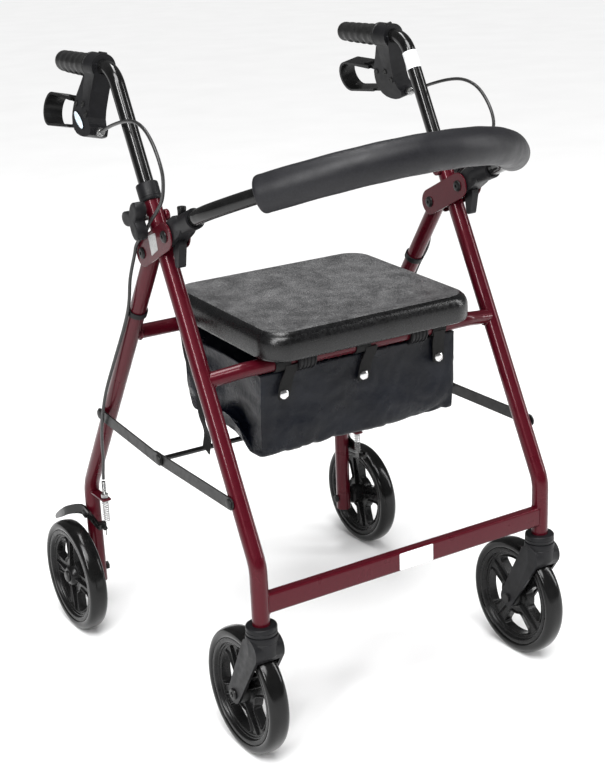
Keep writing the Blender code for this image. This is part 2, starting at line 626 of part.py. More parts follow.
def cross_members():
    bar = [(-0.3115, 0.2404), (-0.3085, 0.2374), (-0.2985, 0.2374), (-0.2955, 0.2404),
           (-0.2955, 0.2644), (-0.2985, 0.2674), (-0.3085, 0.2674), (-0.3115, 0.2644)]
    crossbar = add("front_crossbar", plate(bar, -TRACK, TRACK), "burgundy")
    ends = [(-TRACK, *SEAT_TUBE_END), (-0.2230, -0.1848, 0.5472), (-0.1980, *SEAT_TUBE),
            (0.1980, *SEAT_TUBE), (0.2230, -0.1848, 0.5472), (TRACK, *SEAT_TUBE_END)]
    front = add("seat_front_tube", tube(ends, TUBE_R, 16), "burgundy")
    rear = add("seat_rear_tube", rod((-TRACK, *REAR_TUBE), (TRACK, *REAR_TUBE), TUBE_R, 16),
               "burgundy")
    for _, s in SIDES:
        cut(crossbar, rod((s * TRACK, STEM_Y, 0.20), (s * TRACK, STEM_Y, 0.30), LEG_R + GAP, 24))
        cut(front, front_leg_cutter(s, LEG_R + GAP))
        cut(rear, rear_leg_cutter(s, LEG_R + GAP))
    reach = TRACK + 0.0127
    add("cross_rod", rod((-reach, *LINK_MID), (reach, *LINK_MID), 0.0040, 16), "gloss_black",
        (0, *LINK_FRONT))


for side_name, sign in SIDES:
    front_frame(side_name, sign)
    caster(side_name, sign)
    rear_frame(side_name, sign)
    spreader(side_name, sign)
    handle(side_name, sign)
    cable(side_name, sign)
    backrest_holder(side_name, sign)
backrest()
seat()
bag()
cross_members()
for made in bpy.data.objects:
    made.location.y += SHIFT
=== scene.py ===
import math

import bmesh
import bpy
from mathutils import Matrix, Vector, noise


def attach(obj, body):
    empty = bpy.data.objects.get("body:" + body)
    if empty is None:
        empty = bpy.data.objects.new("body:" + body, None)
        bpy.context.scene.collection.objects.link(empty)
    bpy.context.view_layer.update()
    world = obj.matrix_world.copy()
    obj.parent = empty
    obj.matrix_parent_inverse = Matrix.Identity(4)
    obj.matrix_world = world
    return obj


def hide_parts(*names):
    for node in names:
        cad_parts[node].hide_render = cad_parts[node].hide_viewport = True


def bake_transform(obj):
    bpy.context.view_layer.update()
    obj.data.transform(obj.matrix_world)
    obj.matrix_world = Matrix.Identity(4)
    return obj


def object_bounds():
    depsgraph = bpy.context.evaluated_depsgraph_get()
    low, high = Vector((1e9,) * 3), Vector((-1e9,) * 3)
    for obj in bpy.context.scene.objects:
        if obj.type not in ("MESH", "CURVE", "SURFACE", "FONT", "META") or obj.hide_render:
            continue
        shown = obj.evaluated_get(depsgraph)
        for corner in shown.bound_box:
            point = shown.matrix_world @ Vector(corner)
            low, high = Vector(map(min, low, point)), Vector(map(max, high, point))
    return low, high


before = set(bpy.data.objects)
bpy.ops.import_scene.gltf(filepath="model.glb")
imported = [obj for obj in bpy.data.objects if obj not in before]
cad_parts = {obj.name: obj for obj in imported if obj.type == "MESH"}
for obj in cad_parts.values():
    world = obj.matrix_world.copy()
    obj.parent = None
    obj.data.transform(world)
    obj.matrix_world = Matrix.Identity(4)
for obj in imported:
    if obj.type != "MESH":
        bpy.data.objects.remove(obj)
cad_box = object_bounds()

# Dimensions that repeat those of the CAD model, in metres, before the whole model moves by SHIFT
# along Y. Places seen from the side are (y, z) pairs, and mm() takes lists in millimetres.
SHIFT = 0.0317
TRACK = 0.2523
WHEEL_R = 0.09525
TYRE_HALF = 0.0156
AXLE_Y = 0.25225
STEM_Y = -0.3017
LEG_R = 0.0127
TUBE_R = 0.011
FOLD = (-0.04825, 0.7042)
REST_PIVOT = (-0.11945, 0.7395)
KNOB = (-0.0683, 0.757)
LINK_FRONT = (-0.2585, 0.3913)
LINK_MID = (-0.05215, 0.3928)
LINK_REAR = (0.1456, 0.4088)
SEAT_TUBE = (-0.19025, 0.551)
REAR_TUBE = (0.0432, 0.562)
GRIP_Z = 0.951
BRAKE_TILT = math.radians(13)
LEVER_PIVOT = (0.11, 0.0573)
ARM_PIVOT = (0.25225, 0.2017)
REST_SLOPE = 0.41
REST_END = (-0.163, 0.7643)
LEG_BORE = 0.0115
TUBE_BORE = 0.0095
BOLT_R = 0.004
HOLE_R = 0.0042
STAY_R = 0.0095
LEG_NOTCH_R = LEG_R + 0.0001
SCREWS = ((0.0868, -0.056), (0.073, -0.069))
SIDES = (("left", 1), ("right", -1))
X, Y, Z = Vector((1, 0, 0)), Vector((0, 1, 0)), Vector((0, 0, 1))
LEVER_HOLE = (LEVER_PIVOT[0], -LEVER_PIVOT[1])
FRONT_TOP = (-0.05475, 0.7831)
FRONT_LEAN = 0.52
REAR_TOP = (-0.04075, 0.6877)
REAR_LEAN = 0.668
REAR_FOOT_Y = 0.25125
REAR_WHEEL_X = 0.294
RAIL_WELD_R = 0.0112
WIRE_Y = 0.199
FOAM_R = 0.0256
BAG_HALF = 0.1705
BAG_TABS = (-0.137, 0.0, 0.137)
HINGE_X = 0.0983
LEG_UP = Vector((0, FRONT_LEAN, 1)).normalized()


def mm(*points):
    """Tuples given in millimetres, as a list in metres."""
    return [tuple(value / 1000 for value in point) for point in points]


def turns(count):
    """The angles that divide a full turn into equal steps."""
    return [2 * math.pi * i / count for i in range(count)]


def leg_y(z):
    """The front leg's centre line, and rear_y the rear leg's."""
    return FRONT_TOP[0] - FRONT_LEAN * (FRONT_TOP[1] - z)


def rear_y(z):
    return REAR_TOP[0] + REAR_LEAN * (REAR_TOP[1] - z)


# ---------------------------------------------------------------- materials


class Shade:
    """A material made of nodes, with short calls for the patterns used below."""

    def __init__(self, name, colour, rough, metallic=0.0, **sockets):
        self.name = name
        self.made = bpy.data.materials.new("look_" + name)
        self.made.use_nodes = True
        self.tree = self.made.node_tree
        self.bsdf = self.tree.nodes["Principled BSDF"]
        self.bsdf.inputs["Base Color"].default_value = (*colour, 1)
        self.bsdf.inputs["Roughness"].default_value = rough
        self.bsdf.inputs["Metallic"].default_value = metallic
        for key, value in sockets.items():
            self.bsdf.inputs[key.replace("_", " ")].default_value = value
        self.height = None

    def node(self, kind, **values):
        made = self.tree.nodes.new(kind)
        for key, value in values.items():
            if hasattr(made, key):
                setattr(made, key, value)
            else:
                made.inputs[key.replace("_", " ")].default_value = value
        return made

    def link(self, a, b):
        self.tree.links.new(a, b)

    def pattern(self, kind, result, **values):
        """One output of a texture node that lies in the object's own space."""
        made = self.node(kind, **values)
        self.link(self.node("ShaderNodeTexCoord").outputs["Object"], made.inputs["Vector"])
        return made.outputs[result]

    def noise(self, scale, detail=3.0, rough=0.5):
        return self.pattern("ShaderNodeTexNoise", "Fac", Scale=scale, Detail=detail,
                            Roughness=rough)

    def cells(self, scale, feature="F1"):
        return self.pattern("ShaderNodeTexVoronoi", "Distance", feature=feature, Scale=scale)

    def bands(self, scale, axis):
        return self.pattern("ShaderNodeTexWave", "Fac", bands_direction=axis, Scale=scale)

    def remap(self, value, low, high, to_low=0.0, to_high=1.0):
        made = self.node("ShaderNodeMapRange")
        for i, number in enumerate((low, high, to_low, to_high)):
            made.inputs[i + 1].default_value = number
        self.link(value, made.inputs[0])
        return made.outputs[0]

    def join(self, a, b, how="ADD"):
        made = self.node("ShaderNodeMath", operation=how)
        self.link(a, made.inputs[0])
        self.link(b, made.inputs[1])
        return made.outputs[0]

    def colours(self, value, *stops):
        made = self.node("ShaderNodeValToRGB")
        ramp = made.color_ramp
        while len(ramp.elements) < len(stops):
            ramp.elements.new(0.5)
        for element, (at, colour) in zip(ramp.elements, stops):
            element.position = at
            element.color = (*colour, 1)
        self.link(value, made.inputs[0])
        self.link(made.outputs["Color"], self.bsdf.inputs["Base Color"])
        return self

    def roughness(self, value, low, high):
        self.link(self.remap(value, 0.3, 0.7, low, high), self.bsdf.inputs["Roughness"])
        return self

    def bump(self, value, depth, strength=1.0):
        made = self.node("ShaderNodeBump", Strength=strength, Distance=depth)
        self.link(value, made.inputs["Height"])
        if self.height is not None:
            self.link(self.height, made.inputs["Normal"])
        self.height = made.outputs["Normal"]
        self.link(self.height, self.bsdf.inputs["Normal"])
        return self


def grey(value, blue=1.0):
    return (value, value, value * blue)


def plain(name, base, rough, metallic=0.0, tone=(), gloss=(), relief=(), **sockets):
    """The usual look: two colours, the roughness and a fine relief, each on a noise of its own.

    tone is (scale, detail, place, colour, place, colour), gloss (scale, detail, low, high) and
    relief (scale, detail, depth)."""
    made = Shade(name, base, rough, metallic, **sockets)
    scale, detail, low, dark, high, light = tone
    made.colours(made.noise(scale, detail), (low, dark), (high, light))
    if gloss:
        scale, detail, low, high = gloss
        made.roughness(made.noise(scale, detail), low, high)
    if relief:
        scale, detail, depth = relief
        made.bump(made.noise(scale, detail), depth)
    return made


def leathery_seat():
    top = Shade("seat_grain", grey(0.03), 0.5, Specular_IOR_Level=0.3)
    patches = top.remap(top.noise(38, 4.0), 0, 1, -0.12, 0.12)
    top.colours(top.join(top.noise(1250, 2.0), patches), (0.4, grey(0.012)),
                (0.5, grey(0.05, 1.06)), (0.58, grey(0.12)), (0.7, grey(0.3)))
    top.roughness(top.noise(300, 3.0), 0.3, 0.52)
    top.bump(top.cells(620, "SMOOTH_F1"), 0.00035, 0.8)
    top.bump(top.noise(1800, 2.0), 0.0001, 0.6)
    edge = plain("seat_side", grey(0.01), 0.3, tone=(40, 4, 0.3, grey(0.002, 1.1), 0.7,
                                                       grey(0.005, 1.1)),
                 gloss=(160, 4, 0.2, 0.34), Specular_IOR_Level=0.4)
    edge.bump(edge.cells(900, "SMOOTH_F1"), 0.00016, 0.7)
    return top, edge


def fabrics():
    nylon = Shade("woven_nylon", grey(0.006, 1.5), 0.34, Specular_IOR_Level=0.2)
    weave = nylon.join(nylon.bands(620, "X"), nylon.bands(620, "DIAGONAL"), "MULTIPLY")
    nylon.colours(nylon.join(nylon.noise(14, 5.0), nylon.remap(weave, 0, 1, -0.05, 0.08)),
                  (0.3, (0.0012, 0.0018, 0.004)), (0.7, (0.003, 0.0045, 0.009)))
    nylon.roughness(nylon.noise(20, 5.0), 0.24, 0.38)
    nylon.bump(weave, 0.00012, 0.7)
    nylon.bump(nylon.noise(30, 5.0, rough=0.55), 0.005, 0.6)

    webbing = Shade("webbing", grey(0.008), 0.7, Specular_IOR_Level=0.3)
    rib = webbing.join(webbing.bands(420, "X"), webbing.bands(300, "Z"), "MULTIPLY")
    webbing.colours(rib, (0.0, grey(0.002)), (1.0, grey(0.01)))
    webbing.bump(rib, 0.0003, 0.9)
    return nylon, webbing


def soft_plastics():
    satin = plain("satin_plastic", grey(0.014), 0.42, tone=(30, 4, 0.3, grey(0.004, 1.15), 0.7,
                                                            grey(0.008, 1.15)),
                  gloss=(90, 4, 0.38, 0.52), Specular_IOR_Level=0.2)
    satin.bump(satin.cells(1500), 0.00006, 0.6)
    foam = plain("closed_cell_foam", grey(0.022, 1.1), 0.5,
                 tone=(420, 4, 0.32, grey(0.006, 1.25), 0.68, grey(0.01, 1.25)),
                 gloss=(55, 4, 0.4, 0.54), Specular_IOR_Level=0.3)
    foam.bump(foam.cells(1300), 0.00008, 0.6)
    foam.bump(foam.noise(120, 3.0), 0.0001, 0.4)
    grip = plain("grip_rubber", grey(0.008), 0.42,
                 tone=(140, 4, 0.3, grey(0.005), 0.7, grey(0.012)), gloss=(80, 4, 0.34, 0.5),
                 Specular_IOR_Level=0.35)
    grip.bump(grip.noise(1100, 3.0), 0.00006, 0.7)
    tyre = plain("tyre_rubber", grey(0.006), 0.2, tone=(60, 5, 0.3, grey(0.003), 0.7, grey(0.006)),
                 gloss=(35, 5, 0.13, 0.22), Specular_IOR_Level=0.25)
    tyre.bump(tyre.noise(500, 3.0), 0.00002, 0.5)
    return satin, foam, grip, tyre


def make_materials():
    paint = Shade("burgundy_paint", (0.11, 0.003, 0.009), 0.3, 0.25, Coat_Weight=0.6,
                  Coat_Roughness=0.05, Coat_IOR=1.3, Specular_IOR_Level=0.12)
    paint.colours(paint.noise(2600, 1.0), (0.34, (0.04, 0.001, 0.004)),
                  (0.52, (0.06, 0.002, 0.007)), (0.72, (0.1, 0.006, 0.014)))
    paint.roughness(paint.noise(45, 2.0), 0.26, 0.38)
    paint.bump(paint.noise(330, 2.0), 0.00004)
    shades = (
        paint, *soft_plastics(), *leathery_seat(), *fabrics(),
        plain("black_gloss_paint", grey(0.004), 0.2,
              tone=(60, 3, 0.3, grey(0.0025), 0.7, grey(0.006)), gloss=(25, 4, 0.14, 0.26),
              relief=(420, 2, 0.00003), Coat_Weight=0.5, Coat_Roughness=0.05, Coat_IOR=1.4,
              Specular_IOR_Level=0.25),
        plain("moulded_plastic", grey(0.01), 0.28,
              tone=(24, 3, 0.3, grey(0.004), 0.7, grey(0.009, 1.03)), gloss=(70, 4, 0.2, 0.34),
              relief=(700, 2, 0.00003), Specular_IOR_Level=0.18),
        plain("zinc_plate", grey(0.55), 0.3, 1.0,
              tone=(160, 4, 0.3, (0.26, 0.26, 0.27), 0.7, (0.46, 0.46, 0.45)),
              gloss=(300, 4, 0.18, 0.42), relief=(500, 3, 0.00004)),
        plain("polished_snap", grey(0.75), 0.12, 1.0,
              tone=(90, 2, 0.3, grey(0.6), 0.7, grey(0.82)), gloss=(400, 3, 0.08, 0.22)),
        plain("dark_steel", grey(0.02), 0.36, 0.2,
              tone=(50, 4, 0.3, grey(0.006), 0.7, grey(0.014)), gloss=(120, 4, 0.28, 0.46),
              relief=(600, 3, 0.00005), Specular_IOR_Level=0.3),
        plain("cable_sheath", grey(0.01), 0.38,
              tone=(200, 3, 0.3, grey(0.006), 0.7, grey(0.018)), gloss=(300, 3, 0.3, 0.46),
              relief=(900, 2, 0.00004)),
        plain("blank_label", (0.86, 0.87, 0.88), 0.35,
              tone=(80, 3, 0.3, (0.78, 0.8, 0.82), 0.7, (0.9, 0.91, 0.92)),
              relief=(300, 3, 0.00003), Coat_Weight=0.3, Coat_Roughness=0.15),
        plain("silver_film", grey(0.42), 0.35, 0.5,
              tone=(420, 3, 0.3, grey(0.3), 0.7, grey(0.48)), relief=(300, 3, 0.00003)),
        plain("pale_badge", (0.62, 0.74, 0.82), 0.25,
              tone=(260, 4, 0.35, (0.52, 0.66, 0.76), 0.65, (0.8, 0.87, 0.91)),
              relief=(420, 2, 0.00004), Coat_Weight=0.6, Coat_Roughness=0.08),
        plain("pale_floor", grey(0.9), 0.6,
              tone=(3, 3, 0.3, grey(0.885), 0.7, grey(0.915)), relief=(600, 2, 0.00002)),
    )
    return {shade.name: shade.made for shade in shades}


MATERIALS = make_materials()


# ---------------------------------------------------------------- mesh helpers


def mesh_of(name, bm):
    mesh = bpy.data.meshes.new(name)
    bm.to_mesh(mesh)
    bm.free()
    return mesh


def placed(name, data):
    made = bpy.data.objects.new(name, data)
    bpy.context.scene.collection.objects.link(made)
    return made


def piece(name, bm, look, body, *stands_for, angle=40, bevel=0.0, segments=2, from_angle=35):
    """Makes a piece from a bmesh drawn without SHIFT.

    It rides on a body, or with (a, b, start, end) it stays as drawn, on no body. Edges sharper than
    from_angle degrees get the bevel. Without a bevel, those sharper than angle stay crisp."""
    bmesh.ops.recalc_face_normals(bm, faces=bm.faces)
    mesh = mesh_of(name, bm)
    made = placed(name, mesh)
    mesh.transform(Matrix.Translation((0, SHIFT, 0)))
    for key in [look] if isinstance(look, str) else look:
        mesh.materials.append(MATERIALS[key])
    mesh.shade_smooth()
    if bevel:
        step = made.modifiers.new("edge", "BEVEL")
        step.width = bevel
        step.segments = segments
        step.limit_method = "ANGLE"
        step.angle_limit = math.radians(from_angle)
        step.harden_normals = True
    else:
        mesh.set_sharp_from_angle(angle=math.radians(angle))
    if isinstance(body, str):
        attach(made, body)
    else:
        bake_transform(made)
    if stands_for:
        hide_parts(*stands_for)
    return made


def applied(bm, *cuts, union=()):
    """The bmesh after Boolean cuts and joins with other bmeshes."""
    bmesh.ops.recalc_face_normals(bm, faces=bm.faces)
    base = placed("scratch", mesh_of("scratch", bm))
    tools = []
    for operation, group in (("UNION", union), ("DIFFERENCE", cuts)):
        for tool in group:
            bmesh.ops.recalc_face_normals(tool, faces=tool.faces)
            other = placed("tool", mesh_of("tool", tool))
            step = base.modifiers.new("step", "BOOLEAN")
            step.operation = operation
            step.solver = "EXACT"
            step.object = other
            tools.append(other)
    graph = bpy.context.evaluated_depsgraph_get()
    result = bpy.data.meshes.new_from_object(base.evaluated_get(graph))
    out = bmesh.new()
    out.from_mesh(result)
    for item in [base] + tools:
        bpy.data.objects.remove(item)
    bmesh.ops.remove_doubles(out, verts=out.verts, dist=0.00001)
    return out


def merged(*parts):
    """Several bmeshes in one, without joining their surfaces."""
    out = bmesh.new()
    for part in parts:
        out.from_mesh(mesh_of("scratch", part))
    return out


def loft(loops, ring=False):
    """A skin over loops of equally many points, closed into a ring or with a cap at each end."""
    bm = bmesh.new()
    rows = [[bm.verts.new(p) for p in loop] for loop in loops]
    count = len(rows[0])
    pairs = list(zip(rows, rows[1:]))
    if ring:
        pairs.append((rows[-1], rows[0]))
    for a, b in pairs:
        for i in range(count):
            j = (i + 1) % count
            bm.faces.new((a[i], a[j], b[j], b[i]))
    if not ring:
        bm.faces.new(list(reversed(rows[0])))
        bm.faces.new(rows[-1])
    return bm


def frames(path):
    """(point, side, up) along a path, turning as little as possible."""
    path = [Vector(p) for p in path]
    found = []
    side = None
    for i, point in enumerate(path):
        before = path[max(i - 1, 0)]
        after = path[min(i + 1, len(path) - 1)]
        tangent = ((after - point).normalized() + (point - before).normalized()).normalized()
        if side is None:
            side = tangent.orthogonal() if abs(tangent.x) > 0.9 else X
        side = (side - tangent * side.dot(tangent)).normalized()
        found.append((point, side, tangent.cross(side)))
    return found


def circle(around, radius, count):
    point, u, v = around
    return [point + u * radius * math.cos(a) + v * radius * math.sin(a) for a in turns(count)]


def tube(path, radius, count=40, bore=None):
    """A round tube along a path. The radius is one number, or one for each point."""
    steps = frames(path)
    sizes = radius if isinstance(radius, list) else [radius] * len(steps)
    outer = [circle(f, r, count) for f, r in zip(steps, sizes)]
    if bore is None:
        return loft(outer)
    inner = [circle(f, bore, count) for f in reversed(steps)]
    return loft(outer + inner, ring=True)


def filleted(points, radius, steps=14):
    """The path through points with each corner an arc."""
    points = [Vector(p) for p in points]
    path = [points[0]]
    for a, b, c in zip(points, points[1:], points[2:]):
        u, v = (a - b).normalized(), (c - b).normalized()
        half = u.angle(v) / 2
        reach = radius / math.tan(half)
        middle = b + (u + v).normalized() * radius / math.sin(half)
        start, end = b + u * reach - middle, b + v * reach - middle
        turn = start.angle(end)
        for i in range(steps + 1):
            t = i / steps
            near, far = math.sin((1 - t) * turn), math.sin(t * turn)
            path.append(middle + (start * near + end * far) / math.sin(turn))
    return path + [points[-1]]


def curve_through(points, steps):
    """A smooth curve (Catmull-Rom) through all the points."""
    points = [Vector(p) for p in points]
    ends = [points[0] * 2 - points[1]] + points + [points[-1] * 2 - points[-2]]
    path = []
    for a, b, c, d in zip(ends, ends[1:], ends[2:], ends[3:]):
        for i in range(steps):
            t = i / steps
            path.append((b * 2 + (c - a) * t + (a * 2 - b * 5 + c * 4 - d) * t**2
                         + (b * 3 - a - c * 3 + d) * t**3) / 2)
    return path + [points[-1]]


def rod(start, end, radius, count=32):
    return tube([start, end], radius, count)


def sides_of(axis):
    """The axis with two unit vectors square to it."""
    axis = Vector(axis).normalized()
    u = Z if abs(axis.x) > 0.9 else axis.orthogonal().normalized()
    return axis, u, axis.cross(u)


def turned(profile, origin, axis, count=64):
    """A closed profile of (radius, distance) pairs revolved about an axis."""
    axis, u, v = sides_of(axis)
    outs = [u * math.cos(a) + v * math.sin(a) for a in turns(count)]
    return loft([[Vector(origin) + out * r + axis * h for r, h in profile] for out in outs],
                ring=True)


def spindle(profile, origin, axis, count=48):
    """Stacked discs: (radius, distance) pairs from one end to the other."""
    axis, u, v = sides_of(axis)
    return loft([circle((Vector(origin) + axis * h, u, v), r, count) for r, h in profile])


def headed(profile, s, centre, count=48):
    """A spindle along X whose distances run outwards on side s."""
    return spindle([(r, s * h) for r, h in profile], centre, X, count)


def knurled(rows, origin, u, v, count):
    """Stacked (distance, radius, knurl depth) rings, with every other point standing out."""
    axis = u.cross(v)
    return loft([[Vector(origin) + axis * h + (u * math.cos(a) + v * math.sin(a)) *
                  (r + depth * (i % 2)) for i, a in enumerate(turns(count))]
                 for h, r, depth in rows])


def hull(*circles, count=48):
    """The convex outline round (y, z, radius) circles."""
    points = []
    for y, z, r in circles:
        points += [(round(y + r * math.cos(a), 7), round(z + r * math.sin(a), 7))
                   for a in turns(count)]
    points = sorted(set(points))

    def half(order):
        line = []
        for p in order:
            while len(line) > 1:
                (ax, ay), (bx, by) = line[-2], line[-1]
                if (bx - ax) * (p[1] - ay) - (by - ay) * (p[0] - ax) > 1e-10:
                    break
                line.pop()
            line.append(p)
        return line[:-1]

    return half(points) + half(reversed(points))


def eased(outline, radius, steps=5):
    """A closed outline with each corner rounded."""
    out = []
    for i, b in enumerate(outline):
        a, b, c = Vector(outline[i - 1]), Vector(b), Vector(outline[(i + 1) % len(outline)])
        u, v = (a - b).normalized(), (c - b).normalized()
        half = u.angle(v) / 2
        reach = min(radius / math.tan(half), (a - b).length * 0.49, (c - b).length * 0.49)
        for j in range(steps + 1):
            t = j / steps
            near, far = b + u * reach * (1 - t), b + v * reach * t
            out.append(tuple(near * (1 - t) + far * t))
    return out


def rounded(u0, u1, v0, v1, radius, steps=5):
    """A rectangle with rounded corners."""
    return eased([(u0, v0), (u1, v0), (u1, v1), (u0, v1)], radius, steps)


def mirrored(half):
    """A profile whose second half repeats the first with its distances turned round."""
    return half + [(r, -h) for r, h in reversed(half)]


def plate(outline, x0, x1):
    """A (y, z) outline with its thickness along X."""
    return loft([[Vector((x, y, z)) for y, z in outline] for x in (x0, x1)])


def box(x0, x1, y0, y1, z0, z1):
    return plate([(y0, z0), (y1, z0), (y1, z1), (y0, z1)], x0, x1)


def across(s, inner, outer):
    """The two x of a plate on side s, from offsets to the leg's centre plane."""
    return sorted((s * (TRACK + inner), s * (TRACK + outer)))


def slab(outline, s, inner, outer):
    return plate(outline, *across(s, inner, outer))


def side_hole(s, spot, radius):
    return rod((s * 0.2, *spot), (s * 0.3, *spot), radius)


def notched(bar, leg, low, high):
    """The bar cut to fit both legs, where leg(z) is their centre line."""
    return applied(bar, *[rod((s * TRACK, leg(low), low), (s * TRACK, leg(high), high),
                              LEG_NOTCH_R, 64) for _, s in SIDES])


def hexagon(centre, axis, across_flats, start, end):
    return spindle([(across_flats / 1.732, start), (across_flats / 1.732, end)], centre, axis, 6)


def weld(centre, axis, radius, size=0.0016, count=64):
    """An uneven bead of weld round a tube."""
    axis = Vector(axis).normalized()
    u = axis.orthogonal().normalized()
    v = axis.cross(u)
    loops = []
    for i, a in enumerate(turns(count)):
        out = u * math.cos(a) + v * math.sin(a)
        swell = size * (1 + 0.2 * math.sin(i * 1.9) + 0.08 * math.sin(i * 5.1))
        loops.append(circle((Vector(centre) + out * radius, out, axis * 1.2), swell, 8))
    return loft(loops, ring=True)


# ---------------------------------------------------------------- frame


def front_frame(side, s):
    body = "front_frame"
    x = s * TRACK
    bend = (x, STEM_Y, FRONT_TOP[1] - (FRONT_TOP[0] - STEM_Y) / FRONT_LEAN)
    top = (x, leg_y(0.785), 0.785)
    path = filleted([(x, STEM_Y, 0.2141), bend, top], 0.06)
    leg = tube(path, LEG_R, 56, LEG_BORE)
    x0, x1 = across(s, -0.0185, -0.0121)
    boss = turned([(0.004, x0), (0.008, x0), (0.0085, x0 + 0.0006), (0.0085, x1 - 0.0006),
                   (0.008, x1), (0.004, x1)], (0, *KNOB), X)
    piece("frame_leg_front_" + side, merged(leg, boss), "burgundy_paint", body,
          "front_leg_" + side, angle=50)
    rib = mm((12.8, 0), (15.2, 0), (16, 0.8), (16, 4.4), (15.5, 4.8), (15.5, 5.4), (16, 5.8),
             (16, 23.6), (15.7, 25), (14.8, 25.9), (12.5, 26.2), (11.2, 26), (11.2, 9.2),
             (12.8, 9.2))
    piece("collar_" + side, turned(rib, Vector(top) - LEG_UP * 0.009, LEG_UP), "satin_plastic",
          body, "leg_collar_" + side, angle=50)

    outline = hull((*FOLD, 0.02), (*REST_PIVOT, 0.02))
    for place, inner, outer in (("outer", 0.013, 0.0155), ("inner", -0.0155, -0.013)):
        panel = applied(slab(outline, s, inner, outer), side_hole(s, FOLD, HOLE_R),
                        side_hole(s, REST_PIVOT, HOLE_R))
        piece(f"side_plate_{place}_{side}", panel, "burgundy_paint", body,
              f"bracket_{place}_{side}", bevel=0.0007)
    for name, spot in (("fold", FOLD), ("backrest", REST_PIVOT)):
        shank = rod((x - 0.0157, *spot), (x + 0.0157, *spot), BOLT_R)
        dome = mm((8.5, 15.8), (8.5, 16.4), (8.1, 17.4), (6.6, 18.4), (4, 18.8), (2.6, 18.8),
                  (2.4, 17.2))
        heads = [headed(dome, way, (x, *spot)) for way in (-1, 1)]
        piece(f"{name}_pin_{side}", merged(shank, *heads), "dark_steel", body,
              f"{name}_bolt_{side}", angle=30)

    seat_weld = (s * (TRACK - 0.0128), -0.1794, 0.5434)
    beads = [weld(seat_weld, (1, 0.02, 0.01), RAIL_WELD_R)]
    bar = rounded(-0.3118, -0.2952, 0.2371, 0.2677, 0.004)
    end = [Vector((s * (TRACK - 0.0126), y, z)) for y, z in bar]
    loops = []
    for i, p in enumerate(end):
        out = (p - Vector((p.x, STEM_Y, 0.2524))).normalized()
        swell = 0.0013 * (1 + 0.25 * math.sin(i * 1.7))
        inward = Vector((-s, 0, 0))
        near = abs(p.y - STEM_Y) / LEG_R
        sink = inward * -(LEG_R * (1 - math.sqrt(max(1 - near * near, 0))))
        loops.append(circle((p + sink, out, inward), swell, 8))
    beads.append(loft(loops, ring=True))
    piece("welds_front_" + side, merged(*beads), "burgundy_paint", body, angle=60)

    socket = mm((5.5, 207.8), (20.8, 207.8), (22, 208.4), (22.5, 209.4), (22.5, 212.8),
                (21.8, 213.3), (21.8, 214.1), (22.5, 214.6), (22.5, 219), (22.1, 220.2), (21, 221),
                (19, 221.2), (15.5, 221.5), (12.8, 221.2), (12.8, 213.8), (11.2, 213.8),
                (11.2, 245), (5.5, 245))
    cup = turned(socket, (x, STEM_Y, 0), Z, 72)
    piece("stem_cup_" + side, cup, "satin_plastic", body, "stem_socket_" + side, angle=45)


def cross_members():
    profile = rounded(-0.3115, -0.2955, 0.2374, 0.2674, 0.0038, 6)
    bar = plate(profile, -TRACK + 0.0095, TRACK - 0.0095)
    piece("crossbar", notched(bar, lambda z: STEM_Y, 0.2, 0.3), "burgundy_paint",
          "front_frame", "front_crossbar", angle=30)
    label = rounded(-0.0302, 0.0302, -0.0132, 0.0132, 0.0022)
    middle = Vector((0.0083, -0.31162, 0.2526))
    sheet = loft([[middle + Vector((x, y, z)) for x, z in label] for y in (0, -0.0004)])
    piece("blank_plate", sheet, "blank_label", "front_frame", bevel=0.00015, segments=1)
    corners = mm((-70.3, 732.3), (-92.9, 740.4), (-98.3, 717.4), (-78.1, 705.3))
    film = plate(eased(corners, 0.0012), -TRACK - 0.0158, -TRACK - 0.0155)
    piece("blank_sticker", film, "silver_film", "front_frame", angle=30)

    ends = [(-TRACK, -0.17935, 0.5434), (-0.223, -0.1848, 0.5472), (-0.198, *SEAT_TUBE),
            (0.198, *SEAT_TUBE), (0.223, -0.1848, 0.5472), (TRACK, -0.17935, 0.5434)]
    rail = tube(filleted(ends, 0.045, 8), TUBE_R, 48)
    piece("seat_rail", notched(rail, leg_y, 0.42, 0.66), "burgundy_paint", "front_frame",
          "seat_front_tube")
    rail = rod((-TRACK, *REAR_TUBE), (TRACK, *REAR_TUBE), TUBE_R, 48)
    piece("rear_rail", notched(rail, rear_y, 0.45, 0.66), "burgundy_paint", "rear_frame",
          "seat_rear_tube")
    reach = TRACK + LEG_R
    stay = [(0.0034, -reach), (0.004, -reach + 0.0006), (0.004, reach - 0.0006), (0.0034, reach)]
    piece("cross_stay", spindle(stay, (0, *LINK_MID), X), "black_gloss_paint",
          "spreader_front", "cross_rod", angle=30)


